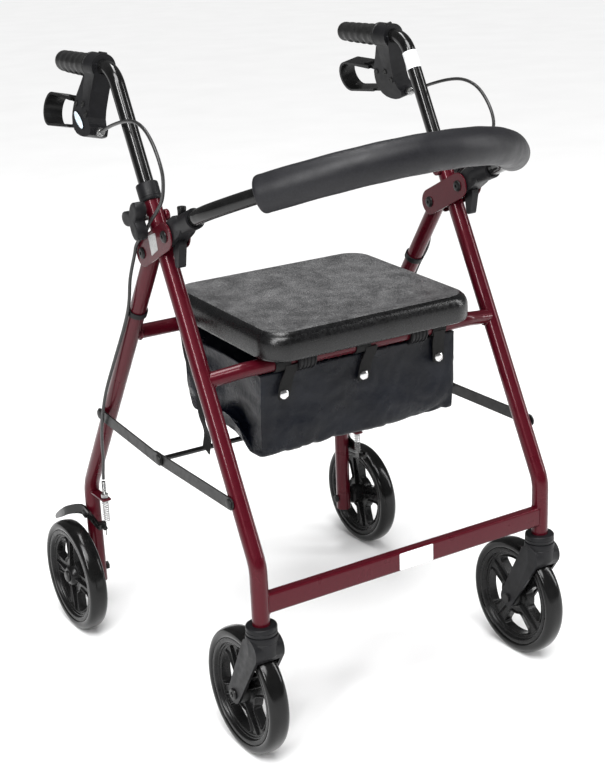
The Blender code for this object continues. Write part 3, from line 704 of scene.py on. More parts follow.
def rear_frame(side, s):
    body = "rear_frame"
    x = s * TRACK
    bend = (x, REAR_FOOT_Y, REAR_TOP[1] - (REAR_FOOT_Y - REAR_TOP[0]) / REAR_LEAN)
    top = (x, rear_y(0.715), 0.715)
    path = filleted([(x, REAR_FOOT_Y, 0.074), bend, top], 0.07)
    leg = tube(path, LEG_R, 56, LEG_BORE)
    piece("frame_leg_rear_" + side, leg, "burgundy_paint", body, "rear_leg_" + side, angle=50)
    plug = mm((1, 72.2), (10, 72.5), (12.2, 73.2), (12.6, 74.5), (11.4, 75))
    piece("leg_foot_plug_" + side, spindle(plug, (x, REAR_FOOT_Y, 0), Z), "satin_plastic", body)
    tab = rounded(-0.008, 0.008, 0.19, 0.241, 0.0035)
    stop = loft([[Vector((x + out, y, z)) for out, y in tab] for z in (0.2392, 0.2424)])
    wire_hole = rod((x, WIRE_Y, 0.23), (x, WIRE_Y, 0.25), 0.0026)
    piece("cable_stop_" + side, applied(stop, wire_hole), "burgundy_paint", body, bevel=0.0005)
    tab_weld = weld((x, 0.2388, 0.2408), Y, 0.006, 0.0012, 40)
    rail_weld = weld((s * (TRACK - 0.0128), *REAR_TUBE), X, RAIL_WELD_R)
    piece("welds_rear_" + side, merged(rail_weld, tab_weld), "burgundy_paint", body, angle=60)

    foot = (x, AXLE_Y, WHEEL_R)
    nut = hexagon(foot, X, 0.013, s * -0.0178, s * -0.0131)
    shank = rod((s * (TRACK - 0.019), AXLE_Y, WHEEL_R), (s * 0.3125, AXLE_Y, WHEEL_R), BOLT_R)
    washer = turned([(0.0041, s * 0.0131), (0.0085, s * 0.0131), (0.0085, s * 0.0143),
                     (0.0041, s * 0.0143)], foot, X)
    cap = mm((9.8, 309.4), (10, 310.4), (9.4, 312), (7.5, 313.1), (4, 313.5))
    dome = headed(cap, s, (0, AXLE_Y, WHEEL_R))
    piece("axle_rear_" + side, merged(nut, shank, washer, dome), "dark_steel", body,
          "rear_axle_" + side, bevel=0.0004, segments=1)


def adjuster(side, s):
    """The knurled barrel, its thread and its lock nut, at the foot of the cable."""
    place = (s * TRACK, WIRE_Y, 0)
    rings = mm((243.2, 4.6, 0), (243.6, 5.5, 0.5), (249.6, 5.5, 0.5), (250.2, 4.6, 0))
    thread = [(0.2502 + i * 0.0009, 0.0035 if i % 2 else 0.0031, 0) for i in range(25)]
    nut = hexagon(place, Z, 0.0095, 0.235, 0.2388)
    piece("cable_adjuster_" + side,
          merged(knurled(rings, place, X, Y, 48), knurled(thread, place, X, Y, 48), nut),
          "zinc_plate", "rear_frame", angle=30)


def coil(name, start, end, radius, wire, rounds, look, body):
    """A wire wound rounds times about the line from start to end."""
    start, end = Vector(start), Vector(end)
    axis = end - start
    v = axis.normalized().cross(X)
    steps = rounds * 14
    path = []
    for i in range(steps + 1):
        t = i / steps
        a = 2 * math.pi * rounds * t
        path.append(start + axis * t + (X * math.cos(a) + v * math.sin(a)) * radius)
    loops = [circle(f, wire, 8) for f in frames(path)]
    return piece(name, loft(loops), look, body, angle=80)


def brake_arm(side, s):
    body = "brake_arm_" + side
    line = mm((15, 193, 194.5, 4.2), (15, 199, 194.6, 5.6), (15, 208, 196, 6.2),
              (15, 230, 201, 6.6), (15, 244, 204, 7.6), (16, 251, 206, 8.4), (19, 258, 207.4, 8.6),
              (24, 263, 207.6, 8.5), (30, 269, 206.6, 8.4), (35, 275, 204.2, 8.3),
              (37.8, 283, 200, 8), (38.8, 294, 193.5, 7.5), (39, 304, 188, 6.6),
              (39, 314, 182.2, 5.4), (39, 321, 177.8, 4.2), (39, 323.5, 176.2, 2.8))
    sections = []
    for out, y, z, half in line:
        x0, x1 = across(s, out - 0.002, out + 0.002)
        sections.append([Vector(p) for p in ((x0, y, z - half), (x1, y, z - half),
                                             (x1, y, z + half), (x0, y, z + half))])
    teeth = []
    for i in range(7):
        y = 0.282 + 0.0052 * i
        z = 0.2004 - 0.58 * (y - 0.283)
        notch = [(y - 0.0022, z - 0.015), (y + 0.0022, z - 0.015), (y + 0.0012, z - 0.004)]
        teeth.append(slab(notch, s, 0.033, 0.045))
    eye = slab(hull((*ARM_PIVOT, 0.0095)), s, 0.0131, 0.017)
    foot = rounded(0.209, 0.1975, 0.1995, 0.19, 0.0015)
    blade = applied(loft(sections), *teeth,
                    union=(eye, slab(foot, s, 0.002, 0.017)))
    piece("brake_crank_" + side, blade, "black_gloss_paint", body, "brake_arm_" + side,
          bevel=0.0005)
    rivet = mm((3.2, 13), (3.2, 16.6), (6.8, 16.8), (7, 17.6), (5.8, 19), (3, 19.6))
    clamp = hexagon((s * (TRACK + 0.008), WIRE_Y, 0.193), Y, 0.007, -0.0105, -0.001)
    washer = rod((s * (TRACK + 0.008), 0.1985, 0.193), (s * (TRACK + 0.008), 0.197, 0.193),
                 0.0046)
    tail = tube(curve_through([(s * (TRACK + 0.003), WIRE_Y, 0.19),
                               (s * (TRACK + 0.004), 0.196, 0.183),
                               (s * (TRACK + 0.006), 0.1925, 0.179)], 5), 0.0008, 8)
    piece("wire_clamp_" + side, merged(clamp, washer, tail), "dark_steel", body, angle=30)
    piece("arm_rivet_" + side, headed(rivet, s, (s * TRACK, *ARM_PIVOT)), "dark_steel", body,
          angle=30)
    low, high = (s * TRACK, WIRE_Y, 0.1998), (s * TRACK, WIRE_Y, 0.235)
    coil("return_spring_" + side, low, high, 0.0048, 0.0007, 9, "zinc_plate",
         (body, "rear_frame", low, high))


def spreader(side, s):
    ahead = (LINK_MID[0] + 0.012, LINK_MID[1])
    bar = slab(hull((*LINK_FRONT, STAY_R), (*ahead, STAY_R)), s, 0.013, 0.0155)
    piece("stay_front_" + side, bar, "dark_steel", "spreader_front", "front_link_" + side,
          bevel=0.0006)
    rivet = mm((7.2, 15.5), (7.5, 16.2), (6.6, 17.4), (4.4, 18.1), (2, 18.3))
    piece("stay_front_rivet_" + side, headed(rivet, s, (s * TRACK, *LINK_FRONT)), "dark_steel",
          "spreader_front", angle=30)
    bar = slab(hull((*LINK_MID, STAY_R), (*LINK_REAR, STAY_R)), s, 0.0158, 0.0183)
    spacer = rod((s * (TRACK + 0.0131), *LINK_REAR), (s * (TRACK + 0.0159), *LINK_REAR), 0.008)
    piece("stay_rear_" + side, merged(bar, spacer), "dark_steel", "spreader_rear",
          "rear_link_" + side, bevel=0.0006)
    rivet = mm((7.6, 18.3), (7.9, 19), (7, 20.2), (4.6, 20.9), (2, 21.1))
    rivets = [headed(rivet, s, (s * TRACK, *spot)) for spot in (LINK_MID, LINK_REAR)]
    piece("stay_rear_rivets_" + side, merged(*rivets), "dark_steel", "spreader_rear", angle=30)


# ---------------------------------------------------------------- wheels


def wheel(name, centre, inner, outer, body, phase):
    """A tyre on a moulded wheel whose four spokes stand phase + 45 degrees round from the back."""
    tread = [(0.0803, -0.0134), (0.0818, -0.0146), (0.0838, -0.0153), (0.086, -TYRE_HALF),
             (0.0882, -0.0154), (0.0903, -0.0146), (0.092, -0.0132), (0.0934, -0.0112),
             (0.0944, -0.0086), (0.095, -0.0056), (WHEEL_R, -0.0024)]
    piece("tread_" + name, turned(mirrored(tread), centre, X, 144), "tyre_rubber", body,
          "tyre_" + name, angle=60)

    hub = Vector(centre)
    face = 0.0046
    web = spindle([(0.068, -0.005), (0.068, 0.005)], centre, X, 96)
    windows, ribs = [], []
    for i in range(4):
        middle = math.radians(phase + 90 * i)
        shape = []
        for r, spread in ((0.032, 0.36), (0.0635, -0.52)):
            arc = [middle + spread * (j / 8 - 0.5) * 2 for j in range(9)]
            shape += [(centre[1] + r * math.cos(a), centre[2] + r * math.sin(a)) for a in arc]
        corners = eased_corners(shape, (0, 8, 9, 17), 0.008)
        windows.append(plate(corners, centre[0] - 0.02, centre[0] + 0.02))
        heart = Vector((centre[1] + 0.05 * math.cos(middle), centre[2] + 0.05 * math.sin(middle)))
        for way in (-1, 1):
            low_x, high_x = centre[0] + way * face, centre[0] + way * (face + 0.003)
            loops = []
            for k, (a, b) in enumerate(zip(corners, corners[1:] + corners[:1])):
                p, before = Vector(a), Vector(corners[k - 1])
                along = (Vector(b) - before).normalized()
                out = Vector((along.y, -along.x))
                if out.dot(p - heart) < 0:
                    out = -out
                foot, crest, edge = p + out * 0.0042, p + out * 0.0013, p + out * 0.0001
                loops.append([Vector((low_x, *foot)), Vector((high_x, *crest)),
                              Vector((high_x, *edge)), Vector((low_x, *edge))])
            ribs.append(loft(loops, ring=True))
    spokes = applied(web, *windows)
    rim = mm((66, -5.2), (67.2, -6.4), (69, -6.8), (69.8, -9), (71.6, -9.4), (73, -12.6),
             (73.8, -13.4), (75.6, -13.8), (79.2, -13.8), (80, -13.2))
    low, high = sorted((inner, outer))
    boss = [
        (0.0044, low), (0.013, low), (0.014, low + 0.0006), (0.0165, low + 0.003),
        (0.0185, -0.006), (0.0235, -0.0046), (0.0235, 0.0046), (0.0185, 0.006),
        (0.0165, high - 0.003), (0.014, high - 0.0006), (0.013, high), (0.0044, high),
    ]
    for i in range(4):
        a = math.radians(phase + 45 + 90 * i)
        out, side = Vector((0, math.cos(a), math.sin(a))), Vector((0, -math.sin(a), math.cos(a)))
        for way in (-1, 1):
            ridge = []
            for r, rise in ((0.017, 1.5), (0.0668, 0.7)):
                foot, half = hub + X * way * face + out * r, side * 0.0012
                lift = X * way * face * rise
                ridge.append([foot - half, foot + half, foot + half * 0.6 + lift,
                              foot - half * 0.6 + lift])
            ribs.append(loft(ridge))
    whole = merged(spokes, turned(mirrored(rim), centre, X, 128), turned(boss, centre, X), *ribs)
    piece("hub_" + name, whole, "moulded_plastic", body, "wheel_" + name, bevel=0.0005)


def eased_corners(outline, which, radius):
    """The outline with only the listed corners rounded."""
    out = []
    for i, p in enumerate(outline):
        if i not in which:
            out.append(p)
            continue
        a, b, c = Vector(outline[i - 1]), Vector(p), Vector(outline[(i + 1) % len(outline)])
        u, v = (a - b).normalized(), (c - b).normalized()
        for j in range(6):
            t = j / 5
            near = b + u * min(radius, (a - b).length * 0.8) * (1 - t)
            far = b + v * min(radius, (c - b).length * 0.8) * t
            out.append(tuple(near * (1 - t) + far * t))
    return out


def caster(side, s):
    centre = (s * TRACK, -AXLE_Y, WHEEL_R)
    wheel("front_" + side, centre, -0.0178, 0.0178, "front_wheel_" + side, 4.5 - s * 10.5)
    crown = mm((22.5, 176), (23.2, 177), (23.5, 179), (23.5, 197.5), (23.1, 198), (23.1, 198.8),
               (23.5, 199.3), (23.5, 205), (23, 206.6), (21.6, 207.5), (5.2, 207.5), (5.2, 240),
               (3.5, 242))
    head = spindle(crown, (s * TRACK, STEM_Y, 0), Z, 72)
    outline = hull((-0.303, 0.184, 0.0205), (-AXLE_Y, WHEEL_R, 0.015), count=72)
    well = rod((s * TRACK - 0.0184, -AXLE_Y, WHEEL_R), (s * TRACK + 0.0184, -AXLE_Y, WHEEL_R),
               0.099, 128)
    hole = side_hole(s, (-AXLE_Y, WHEEL_R), HOLE_R)
    fork = applied(head, well, hole, union=(slab(outline, s, -0.0232, 0.0232),))
    piece("fork_" + side, fork, "satin_plastic", "caster_" + side, "caster_fork_" + side,
          bevel=0.0012, segments=3)
    shank = rod((s * TRACK - 0.0232, -AXLE_Y, WHEEL_R), (s * TRACK + 0.0232, -AXLE_Y, WHEEL_R),
                BOLT_R)
    dome = mm((8, 23.3), (8.5, 23.9), (8.5, 25), (7.8, 26.2), (5, 26.9), (3.6, 26.9), (3, 25))
    nut = hexagon(centre, X, 0.014, -s * 0.0266, -s * 0.0233)
    piece("axle_front_" + side, merged(shank, headed(dome, s, centre), nut), "dark_steel",
          "caster_" + side,
          "caster_axle_" + side, bevel=0.0003, segments=1)


# ---------------------------------------------------------------- handles and brakes


def knob(side, s):
    layers = []
    for x, grow in mm((22.5, -1.6), (23.3, -0.4), (24.2, 0), (37.6, 0), (38.5, -0.5), (39, -2),
                      (39, -8)):
        loop = []
        for a in turns(120):
            r = 0.0205 + 0.009 * math.cos(3 * a) + grow
            loop.append(Vector((s * (TRACK + x), KNOB[0] + r * math.cos(a),
                                KNOB[1] + r * math.sin(a))))
        layers.append(loop)
    collar = mm((3, 20.5), (8, 20.5), (8.5, 21), (8.5, 23.5), (3, 23.5))
    hub = headed(collar, s, (s * TRACK, *KNOB))
    piece("wing_knob_" + side, merged(loft(layers), hub), "satin_plastic", "height_knob_" + side,
          "height_knob_" + side, angle=35)
    thread = [(0.0033 if i % 2 else 0.0028, 0.0113 + 0.0003 * i) for i in range(34)]
    piece("clamp_screw_" + side, headed(thread, s, (s * TRACK, *KNOB)), "zinc_plate",
          "height_knob_" + side, angle=30)


def hung(s, bm):
    """The brake's own bmesh, with the grip along Y through 0, tilted and moved to side s."""
    place = Matrix.Translation((s * TRACK, 0, GRIP_Z)) @ Matrix.Rotation(-s * BRAKE_TILT, 4, "Y")
    bmesh.ops.transform(bm, matrix=place, verts=bm.verts)
    return bm


def handle(side, s):
    body = "handle_" + side
    corner = (s * TRACK, leg_y(GRIP_Z), GRIP_Z)
    low = (s * TRACK, leg_y(0.6), 0.6)
    path = filleted([low, corner, (s * TRACK, 0.198, GRIP_Z)], 0.042, 20)
    piece("bent_handle_" + side, tube(path, TUBE_R, 48, TUBE_BORE), "black_gloss_paint", body,
          "handle_tube_" + side, angle=50)

    if s > 0:
        film = [path[1], path[1] - LEG_UP * 0.014, path[1] - LEG_UP * 0.028]
        piece("blank_wrap", tube(film, TUBE_R + 0.0003, 48, TUBE_R + 0.0001), "blank_label", body,
              angle=50)

    outer = []
    for i in range(97):
        t = i / 96
        y = 0.102 + t * 0.103
        fade = min(1, 6 * t, 7 * (1 - t))
        wave = 0.0011 * math.cos((y - 0.123) / 0.0185 * 2 * math.pi) * fade
        size = 0.0168 - 0.0016 * t
        if t > 0.93:
            size *= math.sqrt(max(1 - ((t - 0.93) / 0.072) ** 2, 0.0)) * 0.62 + 0.38
        loop = []
        for a in turns(48):
            dent = wave * (0.35 + max(0.0, -math.sin(a)) * 1.1)
            r = size + dent + 0.0005 * math.cos(2 * a)
            loop.append(Vector((s * TRACK + r * 0.96 * math.cos(a), y,
                                GRIP_Z - 0.0006 + r * math.sin(a))))
        outer.append(loop)
    flange = mm((11.4, 94.4), (17.2, 94.4), (18.4, 94.8), (19, 95.8), (19, 100), (18.6, 101.4),
                (17.6, 102.4), (11.4, 103))
    ring = turned(flange, (s * TRACK, 0, GRIP_Z), Y)
    piece("hand_grip_" + side, merged(loft(outer), ring), "grip_rubber", body,
          "grip_" + side, angle=50)

    brake_housing(side, s, body)
    brake_lever(side, s)


def brake_housing(side, s, body):
    line = mm((60, 4), (60, -6), (62, -19), (64.8, -37), (66, -50), (66.5, -61), (65, -72),
              (60, -81), (56, -84), (53, -85), (53, -95.5), (60, -98.5), (72, -100.8), (84, -100.5),
              (96, -98.5), (106, -94), (114, -86.5), (118.2, -77), (119, -69), (117.8, -59),
              (112, -44.5), (104, -30), (96.5, -15), (93.5, 4))
    bulb = eased(line, 0.004)
    shell = applied(
        plate(bulb, -0.0142, 0.0142),
        box(-0.011, 0.011, 0.0955, 0.14, -0.096, -0.0425),
        rod((0, 0.03, 0), (0, 0.13, 0), 0.0112, 48),
        rod((0, 0.0942, 0), (0, 0.13, 0), 0.0203, 64),
        *[rod((way * 0.013, y, z), (way * 0.02, y, z), 0.003, 24)
          for way in (-1, 1) for y, z in SCREWS],
        union=(rod((0, 0.0622, 0), (0, 0.094, 0), 0.0188, 64),))
    piece("lever_housing_" + side, hung(s, shell), "satin_plastic", body, "brake_housing_" + side,
          bevel=0.0016, segments=3, from_angle=50)
    foot = (0, 0, -0.09)
    boss = mm((6.8, -70), (6.8, -56), (6.2, -50.8))
    piece("cable_boss_" + side, hung(s, spindle(boss, foot, -Y)), "satin_plastic", body, angle=35)
    head = mm((4.6, 13.8), (4.6, 15.2), (4.2, 15.6), (3.3, 15.6), (3, 14.8), (2.8, 14.8),
              (2.4, 15.3), (0.8, 15.4))
    screws = [headed(head, way, (0, *spot), 24)
              for way in (-1, 1) for spot in (*SCREWS, LEVER_HOLE)]
    screws.append(hexagon((-0.006, 0.071, 0.0178), X, 0.005, 0, 0.012))
    piece("housing_screws_" + side, hung(s, merged(*screws)), "dark_steel", body, angle=35)
    barrel = mm((-51.8, 4.2, 0), (-51.4, 5.8, 0.6), (-46.2, 5.8, 0.6), (-45.8, 4.2, 0),
                (-44, 3.8, 0), (-40, 3.4, 0))
    piece("barrel_adjuster_" + side, hung(s, knurled(barrel, foot, X, Z, 36)), "zinc_plate", body,
          angle=30)

    for name, look, long, wide, x0, x1 in (
            ("badge_ring", "satin_plastic", 0.0215, 0.0074, 0.0138, 0.015),
            ("badge", "pale_badge", 0.0196, 0.0056, 0.0144, 0.0154)):
        u, v = Vector((0, 0.869, 0.495)) * long, Vector((0, -0.495, 0.869)) * wide
        face = [circle((Vector((s * x, 0.0935, -0.0793)), u, v), grow, 64)
                for x, grow in ((x0, 1.0), (x1 - 0.0003, 1.0), (x1, 0.95))]
        piece(name + "_" + side, hung(s, loft(face)), look, body, angle=35)


def brake_lever(side, s):
    body = "brake_lever_" + side
    outline = hull((0.112, -0.064, 0.014), (0.116, -0.079, 0.013), (0.198, -0.0735, 0.025),
                   count=120)
    inner = hull((0.1225, -0.065, 0.0095), (0.126, -0.0785, 0.01), (0.1965, -0.0735, 0.0215),
                 count=120)
    cheeks = applied(plate(outline, -0.0145, 0.0145), box(-0.03, 0.03, 0.05, 0.131, -0.2, 0.05))
    bump = plate(hull((0.14, -0.052, 0.005), (0.147, -0.051, 0.0035), count=48),
                 -0.0085, 0.0085)
    loop = applied(plate(outline, -0.0105, 0.0105), plate(inner, -0.02, 0.02),
                   union=(cheeks, bump))
    piece("loop_lever_" + side, hung(s, loop), "moulded_plastic", body, "brake_lever_" + side,
          bevel=0.0013, segments=3, from_angle=45)
    pin = mm((2, -14.4), (3, -14.2), (3, 14.2), (2, 14.4))
    piece("lever_pin_" + side, hung(s, spindle(pin, (0, *LEVER_HOLE), X, 24)), "dark_steel", body,
          angle=30)


# ---------------------------------------------------------------- brake cables


ROUTE = mm((20.5, 48.5, 863.6), (23, 30, 868.5), (24.8, -3, 879), (26, -45, 889), (27, -80, 892),
           (28, -110, 885), (28.5, -133, 868), (28.5, -149, 845), (27, -152, 824),
           (22.5, -137, 796), (19, -112, 775), (18.4, -87, 755.5), (18.4, -70, 739.5),
           (18.6, -39, 716), (18.6, -29, 699), (18.6, -8, 660), (19, 3, 620), (17, 29, 580),
           (20, 70, 515), (24, 101, 460), (24, 123, 413), (17, 150, 365), (6, 177, 320),
           (0, 196, 288), (0, 198, 276))


def cable(side, s):
    """Two lengths of outer cable that meet at the fold bolt, so that each crosses one joint."""
    steps = 6
    line = curve_through([(s * (TRACK + o), y, z) for o, y, z in ROUTE], steps)
    split = 13 * steps
    upper, lower = line[:split + 1], line[split:]
    top = piece("outer_cable_upper_" + side, tube(upper, 0.0025, 16), "cable_sheath",
                ("handle_" + side, "front_frame", upper[0], upper[-1]), "brake_cable_" + side,
                angle=60)
    rest = piece("outer_cable_lower_" + side, tube(lower, 0.0025, 16), "cable_sheath",
                 ("front_frame", "rear_frame", lower[0], lower[3 * steps]), angle=60)
    middle = Vector((s * TRACK, rear_y(0.603), 0.603))
    down = Vector((0, REAR_LEAN, -1)).normalized()
    band = mm((12.8, -4.5), (15.2, -4.5), (15.2, 4.5), (12.8, 4.5))
    piece("cable_tie_" + side, turned(band, middle, down, 48), "satin_plastic", "rear_frame",
          bevel=0.0005)


# ---------------------------------------------------------------- backrest


def backrest_holder(side, s):
    body = "backrest"
    back = Vector((0, 1, -REST_SLOPE)).normalized()
    end = Vector((s * TRACK, *REST_END))
    button = end + back * 0.0168
    outline = hull((*REST_PIVOT, 0.0155), (button.y, button.z, 0.0145))
    prong = hull((-0.134, 0.73, 0.01), (-0.1335, 0.7015, 0.005))
    shell = applied(
        slab(outline, s, -0.0125, 0.0125),
        rod(end + back * 0.0003, end - back * 0.04, 0.0113, 48),
        rod((button.x, button.y, 0.75), (button.x, button.y, 0.8), 0.0064, 32),
        union=(rod(end + back * 0.015, end - back * 0.023, 0.0145, 56),
               slab(prong, s, -0.006, 0.006)))
    piece("backrest_bracket_" + side, shell, "satin_plastic", body, "backrest_holder_" + side,
          bevel=0.001, from_angle=50)
    cap = mm((6, 754.5), (6, 779), (6.3, 779.5), (6.3, 782.2), (5.8, 783.6), (4, 784))
    piece("push_button_" + side, spindle(cap, (button.x, button.y, 0), Z), "moulded_plastic",
          "release_button_" + side, "release_button_" + side, angle=35)


def rest_point(x):
    """The backrest tube's centre line across the walker."""
    y = -0.386 + 0.1045 * (abs(x) / 0.2083) ** 2.2
    return Vector((x, y, REST_END[1] + REST_SLOPE * (REST_END[0] - y)))


def backrest():
    near_end = [-0.2083, -0.2081, -0.2077, -0.207, -0.2061, -0.2048]
    middle = [-0.202 + 0.404 * i / 56 for i in range(57)]
    spread = near_end + middle + [-x for x in reversed(near_end)]
    bow = [rest_point(x) for x in spread]
    steps = frames(bow)
    loops = []
    for i, f in enumerate(steps):
        edge = min(i, len(steps) - 1 - i)
        r = FOAM_R + 0.0002 * math.sin(i * 0.9)
        if edge < 6:
            r = (0.0226, 0.0236, 0.0244, 0.025, 0.0254, FOAM_R)[edge]
        loops.append(circle(f, r, 48))
    inner = [circle(f, 0.0112, 48) for f in reversed(steps)]
    pad = piece("foam_sleeve", loft(loops + inner, ring=True), "closed_cell_foam", "backrest",
                "backrest_pad", angle=60)
    arm = []
    for x, y in ((TRACK, REST_END[0]), (TRACK, -0.187), (TRACK, -0.198), (0.2475, -0.219),
                 (0.23, -0.251)):
        arm.append(Vector((x, y, REST_END[1] + REST_SLOPE * (REST_END[0] - y))))
    arm = curve_through(arm + [bow[-1]], 8)[:-1]
    other_arm = [Vector((-p.x, p.y, p.z)) for p in reversed(arm)]
    path = arm + bow[::-1] + other_arm
    piece("backrest_hoop", tube(path, TUBE_R, 40), "black_gloss_paint", "backrest",
          "backrest_tube", angle=60)


# ---------------------------------------------------------------- seat


def seat():
    tilt = Matrix.Rotation(math.atan(0.041), 4, "X")
    front = Vector((0, -0.2409, 0.5645))
    levels = mm((8.5, 0), (4, 0.5), (1, 2.6), (0, 6), (0, 17), (0.4, 25), (1.8, 30.6), (4.2, 35),
                (7.6, 38.4), (11.8, 40.5), (16.2, 41.4), (20.5, 41.5), (25, 41.1), (33, 40.6),
                (50, 40.5), (80, 40.6), (110, 40.8), (150, 40.9))
    loops = []
    for inset, height in levels:
        loop = []
        half_x, y0, y1 = 0.1805 - inset, inset, 0.313 - inset
        r = max(0.04 - inset * 0.55, 0.004)
        for side, y, quarter in ((1, y1 - r, 0), (-1, y1 - r, 1), (-1, y0 + r, 2), (1, y0 + r, 3)):
            for i in range(17):
                a = math.pi / 2 * (quarter + i / 16)
                x, yy = side * (half_x - r) + r * math.cos(a), y + r * math.sin(a)
                loop.append(Vector((x, yy, height)))
        loops.append([front + tilt @ p for p in loop])
    cushion = piece("seat_cushion", loft(loops), ("seat_side", "seat_grain"), "seat", "seat_pad",
                    angle=60)
    for polygon in cushion.data.polygons:
        if polygon.normal.dot(tilt @ Z) > 0.975:
            polygon.material_index = 1
    for name, s in SIDES:
        x = s * HINGE_X
        outline = hull((*SEAT_TUBE, 0.0165), (SEAT_TUBE[0], 0.56, 0.0155))
        ribs = [plate(hull((*SEAT_TUBE, 0.0178), (SEAT_TUBE[0], 0.56, 0.0165)), x + d - 0.0012,
                      x + d + 0.0012) for d in (-0.0125, -0.0062, 0.0, 0.0062, 0.0125)]
        cut = rod((x - 0.03, *SEAT_TUBE), (x + 0.03, *SEAT_TUBE), 0.0112, 48)
        clip = applied(plate(outline, x - 0.015, x + 0.015), cut, union=ribs)
        piece("hinge_clip_" + name, clip, "satin_plastic", "seat", bevel=0.0005)


# ---------------------------------------------------------------- bag


def bag_line(x):
    """The bag's section at x: front hem, front panel, bottom, rear panel and rear hem."""
    e = min(abs(x) / BAG_HALF, 1.0) ** 5
    arch = 0.034 * e
    points = [
        (-0.1932, 0.5385), (-0.193, 0.52), (-0.1936 + 0.002 * e, 0.49),
        (-0.193 + 0.003 * e, 0.455), (-0.1905 + 0.003 * e, 0.428), (-0.185 + 0.001 * e, 0.415),
        (-0.17, 0.4125 + 0.1 * arch), (-0.135, 0.4128 + 0.6 * arch),
        (-0.09, 0.415 + 1.0 * arch), (-0.045, 0.4185 + 0.75 * arch),
        (-0.005, 0.4245 + 0.25 * arch), (0.017, 0.435), (0.0275, 0.46), (0.032, 0.495),
        (0.04, 0.53), (0.0435, 0.549),
    ]
    return curve_through([(x, y, z) for y, z in points], 5)


def wrinkled(p, size=1.0):
    """Broad slack folds with narrow creases across them, as thin nylon takes when it hangs."""
    def ripple(stretch, shift=(0, 0, 0)):
        return noise.noise(Vector(a * b for a, b in zip(p, stretch)) + Vector(shift))

    slow = ripple((13, 8, 19), (3.1, 0, 7.7))
    bend = ripple((9, 7, 11), (0, 5.3, 1.9))
    crease = 0.5 - abs(ripple((24, 16, 27), (bend * 2.2, 0, bend * -2.0)))
    small = 0.5 - abs(ripple((55, 40, 48), (bend * 3, 0, 0)))
    fine = ripple((110, 90, 115))
    return size * (0.0052 * slow + 0.017 * crease ** 3 + 0.0012 * small + 0.0004 * fine)


def bag():
    columns = [BAG_HALF * (2 * i / 84 - 1) for i in range(85)]
    rows = [bag_line(x) for x in columns]
    count = len(rows[0])
    bm = bmesh.new()
    grid = []
    for i, row in enumerate(rows):
        line = []
        for j, p in enumerate(row):
            before, after = row[max(j - 1, 0)], row[min(j + 1, count - 1)]
            along = (after - before).normalized()
            normal = Vector((0, along.z, -along.y)) * -1
            hold = min(1, j / 10, (count - 1 - j) / 10)
            line.append(bm.verts.new(p + normal * wrinkled(p) * hold))
        grid.append(line)
    for a, b in zip(grid, grid[1:]):
        for j in range(count - 1):
            bm.faces.new((a[j], a[j + 1], b[j + 1], b[j]))
    for row, end in ((grid[0], -1), (grid[-1], 1)):
        close_end(bm, row, end)
    pouch = piece("tote_bag", bm, "woven_nylon",
                  ("front_frame", "rear_frame", (0, -0.19, 0.48), (0, 0.03, 0.48)), "bag", angle=80)
    step = pouch.modifiers.new("cloth_thickness", "SOLIDIFY")
    step.thickness = 0.0012
    step.offset = 0


def close_end(bm, row, end):
    """The side gusset between the two halves of the section, drawn in at its middle."""
    front = row[:38]
    back = list(reversed(row[38:]))
    count = min(len(front), len(back))
    front, back = front[:count], back[:count]
    last = None
    for k in range(count):
        a, b = front[k], back[k]
        line = [a]
        for j in range(1, 12):
            t = j / 12
            p = a.co.lerp(b.co, t)
            pull = 0.016 * math.sin(math.pi * t) * math.sin(math.pi * min(1, (k + 6) / count * 0.8))
            p.x -= end * (pull + wrinkled(p, 1.6) - 0.004)
            line.append(bm.verts.new(p))
        line.append(b)
        if last:
            for c, d, e, f in zip(last, last[1:], line[1:], line):
                bm.faces.new((c, d, e, f))
        last = line


def bag_trim():
    """Tabs and snaps at the front, loops at the rear, and the seat's pull strap."""
    tabs, rear, snaps = [], [], []
    for x in BAG_TABS:
        ring = mm((11.4, -12.5), (13.1, -12.5), (13.1, 12.5), (11.4, 12.5))
        tabs.append(turned(ring, (x, *SEAT_TUBE), X, 40))
        rear.append(turned(ring, (x, *REAR_TUBE), X, 40))
        lean = 0.0 if x > 0.1 else 0.013
        path = [(x + lean, -0.203, 0.548), (x + lean, -0.201, 0.54),
                (x + 0.5 * lean, -0.1985, 0.525), (x + 0.1 * lean, -0.199, 0.508),
                (x, -0.1988, 0.4975)]
        line = curve_through(path, 6)
        section = ((-1, -0.0007), (-0.5, -0.0009), (0, -0.001), (0.5, -0.0009), (1, -0.0007),
                   (1, 0.0007), (0, 0.0007), (-1, 0.0007))
        halves = [0.0105] * (len(line) - 3) + [0.0105 * part for part in (0.98, 0.9, 0.72)]
        tabs.append(loft([[p + Vector((a * half, b, 0)) for a, b in section]
                          for p, half in zip(line, halves)]))
        dome = mm((5.2, 0), (6.8, 0.4), (7.2, 1.2), (6.6, 2.2), (4.8, 3.1), (2.4, 3.6), (0.8, 3.7))
        snaps.append(spindle(dome, (x, -0.1996, 0.5056), -Y, 40))
    strap = mm((-176, 33, 556), (-180, 10, 530), (-185, -20, 490), (-189, -45, 450),
               (-191.5, -58, 420), (-193, -63, 393))
    section = ((-1, -0.0008), (0, -0.001), (1, -0.0008), (1, 0.0008), (0, 0.001), (-1, 0.0008))
    loops = []
    for i, p in enumerate(curve_through(strap, 8)):
        sway = 0.0022 * math.sin(i * 0.42)
        loops.append([p + Vector((sway + b, a * 0.0095, a * 0.004)) for a, b in section])
    piece("pull_strap", loft(loops), "webbing", "rear_frame", angle=60)
    piece("bag_tabs", merged(*tabs), "webbing", "front_frame", bevel=0.0003, segments=1)
    piece("bag_loops", merged(*rear), "webbing", "rear_frame", bevel=0.0003, segments=1)
    piece("bag_snaps", merged(*snaps), "polished_snap", "front_frame", angle=30)


# ---------------------------------------------------------------- studio


